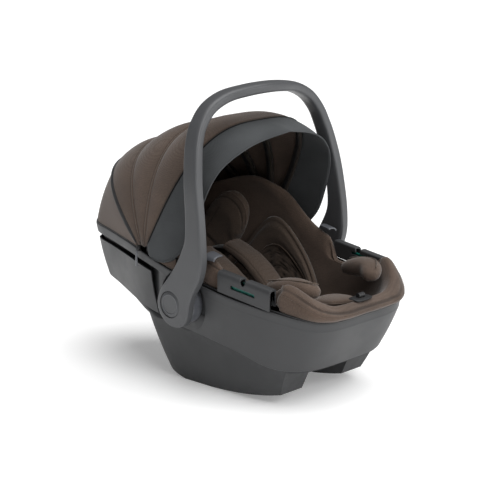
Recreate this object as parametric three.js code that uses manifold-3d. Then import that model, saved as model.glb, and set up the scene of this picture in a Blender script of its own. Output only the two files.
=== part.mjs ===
// Infant car seat: a moulded tub with rocker skids, a padded bucket with harness and headrest,
// a carrying handle that turns about two side hubs, and a canopy of four folding bows.
// Millimetres, +Z up, front (feet) towards -Y, origin on the floor under the middle of the seat.

import * as THREE from 'three';
import { mergeVertices } from 'three/addons/utils/BufferGeometryUtils.js';
import Module from 'manifold-3d';

const wasm = await Module();
wasm.setup();

// ---- driving dimensions ------------------------------------------------------------------

const RING_POINTS = 44;          // points round each shell outline
const HALF_LENGTH = 350;         // from the middle to the front roll and to the rear lip
const RIM_HALF_WIDTH = 187;      // outside of the shell at its rim
const RIM_FRONT = 336;           // how far the rim reaches forward
const SHELL_WALL = 4;
const RECESS = 16;               // how far the shell steps in behind the rear cover
const RIM_POWER = 4.5;           // squareness of the rim's front corners
const BAND_POWER = 4.2;          // squareness of the band and tub there
const REAR_TAPER = 0.28;         // how much narrower the head end is
const FIT_GAP = 0.4;             // clearance between pieces that touch

const BAND_HALF_WIDTH = 172;     // lower edge of the upper shell
const BAND_FRONT = 292;
const BAND_REAR = 318;
const TUB_REAR = 150;            // where the tub's rear wall meets the shell
const TUB_FLOOR_HALF_WIDTH = 127;
const TUB_FLOOR_FRONT = 283;
const TUB_FLOOR_REAR = 92;
const SKID_GAP_HALF_WIDTH = 60;  // half the open channel between the two skids

const HANDLE_PIVOT = { y: -27.3, z: 184.3 };
const HANDLE_INNER_X = 198;
const HANDLE_THICKNESS = 22;
const HUB_BASE_RADIUS = 44;
const AXLE_RADIUS = 8;
const BUTTON_RADIUS = 26;
const BUTTON_FACE_X = 220.4;
const BUTTON_THICKNESS = 3.8;

const CANOPY_HINGE = { y: 81, z: 258.4 };
const CANOPY_HALF_WIDTH = 186.2;
const FABRIC = 2.4;              // thickness of a canopy panel
const BOW_STRIP = 2.6;           // thickness of a bow
const BOW_WIDTH = 8;
const BOW_DROP = 3;              // how far a bow lies inside the fabric
const REAR_PUFF = 6;             // how far the rear panel swells between its seams
const PANEL_PUFFS = { zip: 5, middle: 5, front: 5 };
const BOWS = [                   // the squareness is that of the bow's arch
  { name: 'zip', angle: 49.6, radius: 228.5, x: 168.2, squareness: 3.6 },
  { name: 'rear', angle: 73.4, radius: 226.5, x: 171.5, squareness: 3.5 },
  { name: 'middle', angle: 97, radius: 255.5, x: 174.8, squareness: 3.1 },
  { name: 'front', angle: 119.2, radius: 306, x: 177.7, squareness: 3.2 },
];
// Front edge of the visor from its middle round to the hinge, as half the curve.
const VISOR_STATIONS = [
  [0, -141, 510], [72, -130, 497], [116, -122, 481], [150, -110, 458], [170, -100, 432], [182, -87, 394],
  [187, -63, 328], [188, -39, 293], [188, 0, 263], [188, 34, 254.5], [188, 62, 261],
];

// Stations up one leg of the handle and over the top: middle of the section, and its depth fore and aft.
const HANDLE_STATIONS = [
  [209, -38, 143, 30], [209, -36, 150, 56], [209, -33, 166, 78], [209, -33, 186, 86], [209, -43, 212, 86],
  [209, -65, 244, 78], [209, -82, 280, 60], [209, -89, 318, 43], [207, -86, 366, 37], [203, -78, 420, 35],
  [193, -69, 472, 35], [184, -63.5, 502, 35], [170, -60, 531, 35], [142, -58, 560, 36], [99.5, -60, 579, 38],
  [50, -68, 587, 39], [0, -72, 589.5, 40],
];

const CORNER_RISE = 10;          // how much higher the crest is at its front corners
const GUIDE = {
  rear: -121, front: -250, outer: 183.5, top: 262, slope: 0.13, wall: 3.2, reach: 20, inside: 34,
};
const HEADREST_BOTTOM = 128;     // along the back
const HEADREST_LENGTH = 112;
const STRAP_WIDTH = 38;
const STRAP_THICKNESS = 1.6;

const BUCKET = { floor: 95, middle: -75, halfWidth: 95, halfLength: 85 };
const CREST = { halfWidth: 152, front: 318, rear: 322 };
const BACK_START = { y: 10, z: 95 };
const BACK_END = { y: 332, z: 292 };

// Heights along the seat, as [y, z] stations from the feet to the head.
const RIM_HEIGHT = [[-336, 181], [-264, 200], [-143, 215], [0, 240], [100, 268], [160, 275], [350, 277]];
const BAND_HEIGHT = [
  [-292, 78], [-230, 84], [-163, 104], [-66, 120], [0, 128], [60, 138], [150, 150], [318, 170],
];
const TUB_TOP_HEIGHT = [[-292, 78], [-230, 84], [-163, 104], [-66, 120], [0, 128], [60, 131], [150, 132]];
const CREST_HEIGHT = [
  [-345, 199], [-325, 208], [-300, 227], [-270, 246], [-170, 254], [-97, 272], [-50, 297],
  [0, 340], [50, 366], [100, 372], [180, 350], [260, 318], [325, 292],
];
const INSERT_HEIGHT = [[-140, 104], [-116, 150], [-102, 190], [-87, 232], [-30, 278], [15, 304], [60, 332]];

// ---- finishes ----------------------------------------------------------------------------

const finish = (color, roughness, metalness = 0) => ({ color, roughness, metalness });
const SHELL_GREY = finish(0x3d3f41, 0.55);
const TUB_GREY = finish(0x333436, 0.6);
const BLACK = finish(0x111214, 0.5);
const LIGHT_GREY = finish(0x73757f, 0.45);
const TEAL = finish(0x0d6b5c, 0.4);
const BROWN = finish(0x4a3c34, 0.95);
const DARK_BROWN = finish(0x2b2520, 0.95);
const GREY_FABRIC = finish(0x46494b, 0.9);
const FOAM = finish(0xd9d9d6, 0.9);
const STEEL = finish(0xb4b6b8, 0.3, 1);
const WEBBING = finish(0x17181a, 0.8);

// ---- geometry helpers --------------------------------------------------------------------

const radians = THREE.MathUtils.degToRad;
const lerp = THREE.MathUtils.lerp;
const smooth = (low, high, value) => THREE.MathUtils.smoothstep(value, low, high);
const at = (x, y, z) => new THREE.Vector3(x, y, z);
const range = (count) => Array.from({ length: count }, (_, index) => index);

/** Height at y from a list of stations, with a smooth curve through them. */
function heightAt(stations, y) {
  const last = stations.length - 1;
  if (y <= stations[0][0]) return stations[0][1];
  if (y >= stations[last][0]) return stations[last][1];
  const index = stations.findIndex((station) => station[0] > y) - 1;
  const slope = (i) => {
    const before = stations[Math.max(i - 1, 0)];
    const after = stations[Math.min(i + 1, last)];
    return (after[1] - before[1]) / (after[0] - before[0]);
  };
  const [y0, z0] = stations[index];
  const [y1, z1] = stations[index + 1];
  const span = y1 - y0;
  const t = (y - y0) / span;
  const ease = t * t * (3 - 2 * t);
  const start = slope(index) * span * t * (1 - t) * (1 - t);
  const end = slope(index + 1) * span * t * t * (t - 1);
  return lerp(z0, z1, ease) + start + end;
}

/** Signed power, for superellipses. */
const power = (value, exponent) => Math.sign(value) * Math.abs(value) ** exponent;

/** A point of a plan outline: square-shouldered, and tapered towards the head. */
function planPoint(angle, halfWidth, front, rear, frontPower = RIM_POWER) {
  const side = Math.cos(angle);
  const along = Math.sin(angle);
  const exponent = 2 / (along > 0 ? 4 : frontPower);
  const y = (along > 0 ? rear : front) * power(along, exponent);
  const taper = 1 - REAR_TAPER * smooth(60, 300, y * (HALF_LENGTH / Math.max(rear, 300)));
  return { x: halfWidth * power(side, exponent) * taper, y };
}

/** Angle after some quarter turns, eased so that points spread evenly on a square-shouldered outline. */
function easedAngle(quarters) {
  const whole = Math.floor(quarters);
  return (Math.PI / 2) * (whole + smooth(0, 1, quarters - whole));
}

/** A closed ring of points from a function of the angle round the seat. */
const ring = (pointAt) => range(RING_POINTS).map((i) => pointAt(easedAngle((i / RING_POINTS) * 4)));

/** A plan outline lifted to a height that depends on y. */
const level = (halfWidth, front, rear, heightOf, frontPower) => ring((angle) => {
  const p = planPoint(angle, halfWidth, front, rear, frontPower);
  return at(p.x, p.y, heightOf(p.y));
});

/** Closed geometry from points and triangles, turned so that its faces point out. */
function closedGeometry(points, triangles) {
  const geometry = new THREE.BufferGeometry();
  const values = points.flatMap((p) => [p.x, p.y, p.z]);
  geometry.setAttribute('position', new THREE.Float32BufferAttribute(values, 3));
  const volume = triangles.reduce((sum, [a, b, c]) => {
    const normal = new THREE.Vector3().crossVectors(points[b], points[c]);
    return sum + points[a].dot(normal);
  }, 0);
  const outward = volume < 0 ? triangles.map(([a, b, c]) => [a, c, b]) : triangles;
  geometry.setIndex(outward.flat());
  return geometry;
}

/** Solid through a row of rings. A looped row closes on itself; otherwise both ends are capped. */
function loft(rings, looped = false) {
  const count = rings[0].length;
  const points = rings.flat();
  const triangles = [];
  const rows = looped ? rings.length : rings.length - 1;
  for (let row = 0; row < rows; row += 1) {
    for (let i = 0; i < count; i += 1) {
      const next = (i + 1) % count;
      const upper = ((row + 1) % rings.length) * count;
      triangles.push([row * count + i, row * count + next, upper + next]);
      triangles.push([row * count + i, upper + next, upper + i]);
    }
  }
  if (!looped) {
    for (const [row, flip] of [[0, true], [rings.length - 1, false]]) {
      const centre = rings[row].reduce((sum, p) => sum.add(p), at(0, 0, 0)).divideScalar(count);
      points.push(centre);
      for (let i = 0; i < count; i += 1) {
        const a = row * count + i;
        const b = row * count + ((i + 1) % count);
        triangles.push(flip ? [points.length - 1, b, a] : [points.length - 1, a, b]);
      }
    }
  }
  return closedGeometry(points, triangles);
}

/** Thin solid between two equal grids of points. */
function sheet(outer, inner) {
  const rows = outer.length;
  const columns = outer[0].length;
  const points = [...outer.flat(), ...inner.flat()];
  const id = (side, row, column) => side * rows * columns + row * columns + column;
  const triangles = [];
  const quad = (a, b, c, d) => triangles.push([a, b, c], [a, c, d]);
  for (let i = 0; i < rows - 1; i += 1) {
    for (let j = 0; j < columns - 1; j += 1) {
      quad(id(0, i, j), id(0, i + 1, j), id(0, i + 1, j + 1), id(0, i, j + 1));
      quad(id(1, i, j), id(1, i, j + 1), id(1, i + 1, j + 1), id(1, i + 1, j));
    }
  }
  for (let i = 0; i < rows - 1; i += 1) {
    quad(id(0, i, 0), id(1, i, 0), id(1, i + 1, 0), id(0, i + 1, 0));
    const edge = columns - 1;
    quad(id(0, i, edge), id(0, i + 1, edge), id(1, i + 1, edge), id(1, i, edge));
  }
  for (let j = 0; j < columns - 1; j += 1) {
    quad(id(0, 0, j), id(0, 0, j + 1), id(1, 0, j + 1), id(1, 0, j));
    quad(id(0, rows - 1, j), id(1, rows - 1, j), id(1, rows - 1, j + 1), id(0, rows - 1, j + 1));
  }
  return closedGeometry(points, triangles);
}

/** Prism of a [y, z] outline, from low x to high x. */
function prismX(outline, lowX, highX) {
  const shape = new THREE.Shape(outline.map(([y, z]) => new THREE.Vector2(y, z)));
  const geometry = new THREE.ExtrudeGeometry(shape, { depth: highX - lowX, bevelEnabled: false });
  const turn = new THREE.Matrix4().makeBasis(at(0, 1, 0), at(0, 0, 1), at(1, 0, 0));
  return geometry.applyMatrix4(turn.setPosition(lowX, 0, 0));
}

/** Cylinder along X. */
function rodX(radius, lowX, highX, y, z, sides = 20) {
  const geometry = new THREE.CylinderGeometry(radius, radius, highX - lowX, sides);
  return geometry.rotateZ(Math.PI / 2).translate((lowX + highX) / 2, y, z);
}

/** manifold-3d solid from closed three.js geometry. */
function solid(geometry) {
  const bare = geometry.clone();
  bare.deleteAttribute('normal');
  bare.deleteAttribute('uv');
  const merged = mergeVertices(bare, 1e-4);
  return new wasm.Manifold(new wasm.Mesh({
    numProp: 3,
    vertProperties: new Float32Array(merged.attributes.position.array),
    triVerts: new Uint32Array(merged.index.array),
  }));
}

/** three.js geometry from a manifold-3d solid. */
function geometryOf(body) {
  const mesh = body.getMesh();
  const geometry = new THREE.BufferGeometry();
  geometry.setAttribute('position', new THREE.BufferAttribute(mesh.vertProperties, 3));
  geometry.setIndex(new THREE.BufferAttribute(mesh.triVerts, 1));
  return geometry;
}

/** One geometry with others cut away from it. */
function cut(geometry, ...tools) {
  return geometryOf(tools.reduce((body, tool) => body.subtract(solid(tool)), solid(geometry)));
}

/** Flat strap or rounded bar along a path, with its width set across the path. */
function ribbon(path, width, thickness, across, sides = 4) {
  const curve = new THREE.CatmullRomCurve3(path);
  const steps = Math.max(6, path.length * 3);
  const rings = range(steps + 1).map((step) => {
    const t = step / steps;
    const centre = curve.getPointAt(t);
    const tangent = curve.getTangentAt(t);
    const side = across.clone().addScaledVector(tangent, -across.dot(tangent)).normalize();
    const up = new THREE.Vector3().crossVectors(tangent, side);
    return range(sides).map((i) => {
      const angle = ((i + 0.5) / sides) * 2 * Math.PI;
      const reach = sides === 4 ? Math.SQRT2 : 1;
      return centre.clone()
        .addScaledVector(side, Math.cos(angle) * reach * width / 2)
        .addScaledVector(up, Math.sin(angle) * reach * thickness / 2);
    });
  });
  return loft(rings);
}

/** The same geometry on the other side of the seat. */
function mirrored(geometry) {
  const copy = geometry.clone().scale(-1, 1, 1);
  const index = copy.index ? Array.from(copy.index.array) : range(copy.attributes.position.count);
  for (let i = 0; i < index.length; i += 3) [index[i + 1], index[i + 2]] = [index[i + 2], index[i + 1]];
  copy.setIndex(index);
  return copy;
}

const group = new THREE.Group();

function addPart(name, geometry, look) {
  const mesh = new THREE.Mesh(geometry, new THREE.MeshStandardMaterial(look));
  mesh.name = name;
  group.add(mesh);
}

/** A piece made for the right side (+X), and its twin on the left. */
function addPair(name, geometry, look) {
  addPart(`${name}_right`, geometry, look);
  addPart(`${name}_left`, mirrored(geometry), look);
}

// ---- lower tub ---------------------------------------------------------------------------

/** The rocker: flat under the seat, rising towards the feet and the head. */
function rockerOutline(lift) {
  const floor = [[-400, 78], [-253, 29], [-150, 8], [-50, 0], [26, 0], [80, 15.6], [110, 82], [152, 140]];
  return [...floor.map(([y, z]) => [y, z + lift]), [400, 140 + lift], [400, 400], [-400, 400]];
}

/** The channel between the skids, open at the front. */
function channelOutline(lift) {
  return [
    [-400, -50], [-400, 76 + lift], [-290, 70 + lift], [-150, 42 + lift], [-60, 32 + lift],
    [50 + lift, 28 + lift], [62 + lift, -50],
  ];
}

/** Everything in front of the skids' sloping front faces. */
function skidFrontOutline(inset) {
  const back = 1.15 * inset;
  return [[-500, -60], [-189.4 + back, -60], [-254.2 + back, 76 + inset], [-500, 76 + inset]];
}

function tubBlank(inset) {
  const top = level(BAND_HALF_WIDTH - 3 - inset, BAND_FRONT - 3 - inset, TUB_REAR - inset,
    (y) => heightAt(TUB_TOP_HEIGHT, y) - FIT_GAP + inset * 8, BAND_POWER);
  const low = level(TUB_FLOOR_HALF_WIDTH - inset, TUB_FLOOR_FRONT - inset, TUB_FLOOR_REAR - inset,
    () => -2, 3.5);
  return solid(loft([low, top]))
    .intersect(solid(prismX(rockerOutline(inset), -300, 300)))
    .subtract(solid(prismX(skidFrontOutline(inset), -300, 300)));
}

function lowerTub() {
  const gap = SKID_GAP_HALF_WIDTH;
  const channel = solid(prismX(channelOutline(0), -gap, gap));
  const channelRoof = solid(prismX(channelOutline(SHELL_WALL), -gap - SHELL_WALL, gap + SHELL_WALL));
  const outside = tubBlank(0).subtract(channel);
  const inside = tubBlank(SHELL_WALL).subtract(channelRoof);
  return geometryOf(outside.subtract(inside));
}

// ---- upper shell -------------------------------------------------------------------------

const rimHeight = (y) => heightAt(RIM_HEIGHT, y);
const bandHeight = (y) => heightAt(BAND_HEIGHT, y);

/** Steps an outline in behind the lip, where the rear cover stands off the shell. */
const steppedIn = (outline, most) => outline.map((p) => {
  const depth = most * smooth(46, 62, p.y);
  return at(p.x * (1 - depth / RIM_HALF_WIDTH), p.y * (1 - depth / HALF_LENGTH), p.z);
});

const lipDrop = (y) => rimHeight(y) - lerp(16, 20, smooth(40, 120, y));

/** Wall of the upper shell from its rim down to its lower edge, inset from the outside. */
function shellWall(inset) {
  const lift = Math.max(inset, 0);
  const rim = level(RIM_HALF_WIDTH - inset, RIM_FRONT - inset, HALF_LENGTH - inset, rimHeight);
  const lip = level(RIM_HALF_WIDTH - 2 - inset, RIM_FRONT - 3 - inset, HALF_LENGTH - 5 - inset,
    (y) => lipDrop(y) + lift);
  const under = steppedIn(lip, RECESS).map((p) => at(p.x, p.y, p.z - 3));
  const band = level(BAND_HALF_WIDTH - inset, BAND_FRONT - inset, BAND_REAR - inset, bandHeight, BAND_POWER);
  return [rim, lip, under, steppedIn(band, RECESS - 4)];
}

function upperShell() {
  const outside = shellWall(0);
  const inside = shellWall(SHELL_WALL).reverse();
  const seatOutside = level(BAND_HALF_WIDTH - 3, BAND_FRONT - 3, TUB_REAR,
    (y) => heightAt(TUB_TOP_HEIGHT, y), BAND_POWER);
  const inner = 3 + SHELL_WALL;
  const seatInside = level(BAND_HALF_WIDTH - inner, BAND_FRONT - inner, TUB_REAR - SHELL_WALL,
    (y) => heightAt(TUB_TOP_HEIGHT, y) + SHELL_WALL * smooth(0, 60, y), BAND_POWER);
  const shell = loft([...outside, seatOutside, seatInside, ...inside], true);
  const { y, z } = HANDLE_PIVOT;
  return cut(shell,
    rodX(AXLE_RADIUS + FIT_GAP, 120, 260, y, z),
    rodX(AXLE_RADIUS + FIT_GAP, -260, -120, y, z));
}

/** Cover round the head end, standing off the shell under the belt channel. */
function rearCover() {
  const columns = 30;
  const start = 0.088;
  const skin = (inset) => [0, 0.5, 1].map((down) => range(columns + 1).map((i) => {
    const angle = easedAngle(lerp(start, 2 - start, i / columns));
    const halfWidth = lerp(184, 167, down) - inset;
    const p = planPoint(angle, halfWidth, RIM_FRONT, lerp(338, 318, down) - inset);
    const top = lipDrop(p.y) - 12;
    return at(p.x, p.y, lerp(top, bandHeight(p.y) + 1, down));
  }));
  return sheet(skin(0), skin(3.2));
}

/** Black lining of the channel that the car's belt lies in. */
function beltChannel() {
  const columns = 30;
  const start = 0.105;
  const skin = (standOff) => [0, 1].map((down) => steppedIn(range(columns + 1).map((i) => {
    const angle = easedAngle(lerp(start, 2 - start, i / columns));
    const p = planPoint(angle, RIM_HALF_WIDTH - 2, RIM_FRONT, HALF_LENGTH - 5);
    return at(p.x, p.y, lipDrop(p.y) - 5 - 14 * down);
  }), RECESS - standOff));
  return sheet(skin(2.6), skin(1.2));
}

// ---- bucket: foam, cover and newborn insert ----------------------------------------------

/** A point of the bucket's inner surface: v runs from the seat to the crest, inset into the hollow. */
function bucketPoint(angle, v, inset) {
  const side = Math.cos(angle);
  const along = Math.sin(angle);
  const x0 = (BUCKET.halfWidth - inset) * power(side, 0.8);
  const y0 = BUCKET.middle + (BUCKET.halfLength - inset) * power(along, 0.8);
  const crest = planPoint(angle, CREST.halfWidth - inset, CREST.front - inset, CREST.rear - inset);
  const rearness = Math.max(0, along) ** 2;
  const spread = v ** lerp(0.62, 1, rearness);
  const rise = v ** lerp(1.5, 1, rearness);
  const floor = BUCKET.floor + inset;
  return at(lerp(x0, crest.x, spread), lerp(y0, crest.y, spread),
    lerp(floor, crestHeight(crest.x, crest.y) - 6, rise));
}

/** Largest v, going up from the seat, at which the test still holds. */
function highest(angle, inset, test) {
  const steps = 60;
  const reached = range(steps + 1).findIndex((i) => !test(bucketPoint(angle, i / steps, inset)));
  return reached < 0 ? 1 : Math.max(reached - 1, 1) / steps;
}

const bucketRing = (share, inset, top) => ring((angle) => bucketPoint(angle, share * top(angle), inset));

function bucketSkin(outerInset, innerInset, top) {
  const outside = [0, 0.25, 0.5, 0.75, 1].map((share) => bucketRing(share, outerInset, top));
  const inside = [1, 0.75, 0.5, 0.25, 0].map((share) => bucketRing(share, innerInset, top));
  return [...outside, ...inside];
}

function foamLiner() {
  const belowRim = (angle) => highest(angle, -16, (p) => p.z < rimHeight(p.y) - 12);
  return loft(bucketSkin(-16, -9, belowRim));
}

/** The cover stays clear of the canopy's hinge, so its sides step in behind the handle. */
const hingeRelief = (y) => 1 - 0.105 * smooth(0, 58, y);

/** Crest of the cover, a little higher at the front corners than between them. */
const crestHeight = (x, y) => heightAt(CREST_HEIGHT, y)
  + CORNER_RISE * smooth(70, 150, Math.abs(x)) * smooth(215, 300, -y);

function rollRing(halfWidth, front, rear, share) {
  return level(halfWidth, front, rear, () => 0).map((p) => {
    const crest = crestHeight(p.x, p.y);
    return at(p.x * hingeRelief(p.y), p.y, lerp(rimHeight(p.y) + 2, crest, share));
  });
}

/** Tips an extruded guide so that it follows the falling rim. */
function tipped(geometry) {
  const position = geometry.attributes.position;
  for (let i = 0; i < position.count; i += 1) {
    const forward = GUIDE.rear - position.getY(i);
    position.setZ(i, position.getZ(i) - GUIDE.slope * forward);
    position.setX(i, position.getX(i) - 0.03 * forward);
  }
  return geometry;
}

/** Extrusion of an [x, z] outline along the guide. */
function guidePrism(outline, rear, front) {
  const shape = new THREE.Shape(outline.map(([x, z]) => new THREE.Vector2(x, z)));
  const geometry = new THREE.ExtrudeGeometry(shape, { depth: rear - front, bevelEnabled: false });
  geometry.rotateX(Math.PI / 2).translate(0, rear, 0);
  return geometry;
}

function beltGuide() {
  const { outer, top, wall, reach, rear, front } = GUIDE;
  const saddle = [
    [outer, 221], [outer, top - 5], [outer - 5, top], [outer - reach, top],
    [outer - reach, top - GUIDE.inside], [outer - reach + wall, top - GUIDE.inside],
    [outer - reach + wall, top - wall], [outer - wall - 3, top - wall],
    [outer - wall, top - wall - 3], [outer - wall, 221],
  ];
  const notch = guidePrism([[150, 240], [200, 240], [200, 290], [150, 290]], -177, -190);
  const slot = guidePrism([[outer - 12, 236], [200, 236], [200, 243], [outer - 12, 243]], -154, -214);
  return tipped(cut(guidePrism(saddle, rear, front), notch, slot));
}

/** The room that a guide takes out of the cover. */
function guideRoom() {
  const { outer, top, reach, rear, front } = GUIDE;
  const shelf = top - GUIDE.inside - 1;
  const room = [
    [outer + 20, 200], [outer + 20, top + 60], [outer - reach - 20, top + 60],
    [outer - reach - 20, shelf], [outer - 9, shelf], [outer - 9, 200],
  ];
  return tipped(guidePrism(room, rear + 1, front - 1));
}

function seatCover() {
  const belowRim = (angle) => highest(angle, -5, (p) => p.z < rimHeight(p.y) - 6);
  const outside = [0, 0.33, 0.66, 1].map((share) => bucketRing(share, -5, belowRim));
  const roll = [
    rollRing(176, 341, 328, 0.02), rollRing(178, HALF_LENGTH, 331, 0.4), rollRing(174, 346, 331, 0.8),
    rollRing(165, 334, 328, 1), rollRing(157, 324, 325, 0.94),
  ];
  const inside = [0.93, 0.75, 0.5, 0.25, 0].map((share) => bucketRing(share, 0, () => 1));
  return cut(loft([...outside, ...roll, ...inside]), guideRoom(), mirrored(guideRoom()));
}

/** Distance along the back from where it leaves the seat, and height off it. */
const backSlope = Math.atan2(BACK_END.z - BACK_START.z, BACK_END.y - BACK_START.y);
const upBack = at(0, Math.cos(backSlope), Math.sin(backSlope));
const offBack = at(0, -Math.sin(backSlope), Math.cos(backSlope));
const onBack = (x, along, off) => at(x, BACK_START.y, BACK_START.z)
  .addScaledVector(upBack, along).addScaledVector(offBack, off);

function newbornInsert() {
  const fits = (p) => {
    const along = p.clone().sub(onBack(0, 0, 0)).dot(upBack);
    return p.z < heightAt(INSERT_HEIGHT, p.y) && along < HEADREST_BOTTOM - 6 && p.y > -215;
  };
  const top = (angle) => highest(angle, 8, fits);
  return loft(bucketSkin(8, 24, top));
}

// ---- headrest ----------------------------------------------------------------------------

/** Extrudes an outline of [x, height off the back] along the back. */
function alongBack(outline, start, length) {
  const shape = new THREE.Shape(outline.map(([x, off]) => new THREE.Vector2(x, off)));
  const geometry = new THREE.ExtrudeGeometry(shape, { depth: length, bevelEnabled: false });
  const turn = new THREE.Matrix4().makeBasis(at(-1, 0, 0), offBack, upBack);
  const origin = onBack(0, start, 0);
  return geometry.applyMatrix4(turn.setPosition(origin.x, origin.y, origin.z));
}

const bothSides = (half) => [...half, ...half.slice().reverse().map(([x, off]) => [-x, off])];

const HEADREST_WING = [
  [30, 40], [64, 56], [76, 90], [78, 150], [86, 176], [98, 178], [103, 140], [97, 60], [80, 22], [60, 16],
];

const headrestPad = () => alongBack(bothSides(HEADREST_WING), HEADREST_BOTTOM, HEADREST_LENGTH);

const headrestBoard = () => alongBack(
  bothSides([[56, 15.4], [54, 12], [40, 9]]), HEADREST_BOTTOM + 8, HEADREST_LENGTH - 16);

// ---- handle ------------------------------------------------------------------------------

function handleBow() {
  const right = HANDLE_STATIONS.map(([x, y, z, depth]) => ({ centre: at(x, y, z), depth }));
  const left = right.slice(0, -1).reverse()
    .map(({ centre, depth }) => ({ centre: at(-centre.x, centre.y, centre.z), depth }));
  const stations = [...right, ...left];
  const rings = stations.map(({ centre, depth }, index) => {
    const before = stations[Math.max(index - 1, 0)].centre;
    const after = stations[Math.min(index + 1, stations.length - 1)].centre;
    const tangent = after.clone().sub(before).normalize();
    const upright = Math.abs(tangent.z) > 0.9 && centre.z < 300;
    const fore = upright ? at(0, 1, 0) : at(0, 1, 0).addScaledVector(tangent, -tangent.y).normalize();
    const out = upright ? at(Math.sign(tangent.z), 0, 0) : new THREE.Vector3().crossVectors(fore, tangent);
    return range(12).map((i) => {
      const angle = (i / 12) * 2 * Math.PI;
      return centre.clone()
        .addScaledVector(fore, power(Math.cos(angle), 0.6) * depth / 2)
        .addScaledVector(out, power(Math.sin(angle), 0.6) * HANDLE_THICKNESS / 2);
    });
  });
  const { y, z } = HANDLE_PIVOT;
  const pockets = [
    rodX(BUTTON_RADIUS + 0.5, 211.8, 240, y, z, 24),
    rodX(12, 208.4, 212, y, z),
    rodX(AXLE_RADIUS + FIT_GAP, 190, 206.8, y, z),
  ];
  return cut(loft(rings), ...pockets, ...pockets.map(mirrored));
}

const handleButton = () => rodX(BUTTON_RADIUS, BUTTON_FACE_X - BUTTON_THICKNESS, BUTTON_FACE_X,
  HANDLE_PIVOT.y, HANDLE_PIVOT.z, 24);

/** Coil spring behind a button. */
function buttonSpring() {
  const turns = 3;
  const [low, high] = [209.4, 215.6];
  const points = range(turns * 9 + 1).map((i) => {
    const angle = (i / 9) * 2 * Math.PI;
    const x = lerp(low, high, i / (turns * 9));
    return at(x, HANDLE_PIVOT.y + 9 * Math.cos(angle), HANDLE_PIVOT.z + 9 * Math.sin(angle));
  });
  const section = new THREE.Shape(range(5).map((i) => {
    const angle = (i / 5) * 2 * Math.PI;
    return new THREE.Vector2(0.7 * Math.cos(angle), 0.7 * Math.sin(angle));
  }));
  const path = new THREE.CatmullRomCurve3(points);
  return new THREE.ExtrudeGeometry(section, { steps: turns * 9, extrudePath: path, bevelEnabled: false });
}

/** Hub seat between the shell's side and the handle, hollow for the axle. */
function hubBase() {
  const { y, z } = HANDLE_PIVOT;
  const disc = rodX(HUB_BASE_RADIUS, 160, HANDLE_INNER_X - 0.5, y, z, 28);
  return cut(disc, loft(shellWall(-FIT_GAP)), rodX(AXLE_RADIUS + FIT_GAP, 120, 240, y, z));
}

const handleAxle = () => rodX(AXLE_RADIUS, 169, 206.4, HANDLE_PIVOT.y, HANDLE_PIVOT.z);

// ---- canopy ------------------------------------------------------------------------------

/** Cross-section of the canopy: x and reach from the hinge axis, for t from -1 to 1. */
function canopySection(t, halfWidth, radius, squareness) {
  const angle = t * Math.PI / 2;
  return {
    x: halfWidth * power(Math.sin(angle), 2 / squareness),
    reach: radius * Math.abs(Math.cos(angle)) ** (2 / squareness),
  };
}

const aroundHinge = (x, reach, degrees) => at(x,
  CANOPY_HINGE.y + reach * Math.cos(radians(degrees)),
  CANOPY_HINGE.z + reach * Math.sin(radians(degrees)));

/** A flat bow in its own plane, with an eye at each end for the hinge pin. */
function canopyBow({ angle, radius, x, squareness }) {
  const reach = radius - FABRIC - BOW_DROP;
  const arch = (inset) => range(25).map((i) => {
    const section = canopySection(lerp(-1, 1, i / 24), x - inset, reach - inset, squareness);
    return new THREE.Vector2(section.x, section.reach);
  });
  const outer = arch(0);
  const inner = arch(BOW_STRIP).reverse();
  const foot = -6;
  const shape = new THREE.Shape([
    new THREE.Vector2(-x, foot), ...outer, new THREE.Vector2(x, foot),
    new THREE.Vector2(x - BOW_STRIP, foot), ...inner, new THREE.Vector2(-x + BOW_STRIP, foot),
  ]);
  const geometry = new THREE.ExtrudeGeometry(shape, { depth: BOW_WIDTH, bevelEnabled: false });
  const up = at(0, Math.cos(radians(angle)), Math.sin(radians(angle)));
  const side = at(1, 0, 0);
  const turn = new THREE.Matrix4().makeBasis(side, up, new THREE.Vector3().crossVectors(side, up));
  geometry.translate(0, 0, -BOW_WIDTH / 2).applyMatrix4(turn);
  geometry.translate(0, CANOPY_HINGE.y, CANOPY_HINGE.z);
  return cut(geometry, rodX(2.5, -200, 200, CANOPY_HINGE.y, CANOPY_HINGE.z, 12));
}

/** Fabric between two bows, puffed out between its seams. */
function canopyPanel(low, high, puff) {
  const columns = 22;
  const rows = 4;
  const widest = 0.985;
  const skin = (inset) => range(rows + 1).map((row) => range(columns + 1).map((column) => {
    const t = lerp(-widest, widest, column / columns);
    const share = row / rows;
    const bulge = puff * Math.sin(Math.PI * share);
    const section = canopySection(t, CANOPY_HALF_WIDTH - inset + bulge * 0.3,
      lerp(low.radius, high.radius, share) + bulge - inset, lerp(low.squareness, high.squareness, share));
    const margin = (0.5 / section.reach) * (180 / Math.PI);
    return aroundHinge(section.x, section.reach, lerp(low.angle + margin, high.angle - margin, share));
  }));
  return sheet(skin(0), skin(FABRIC));
}

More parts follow.
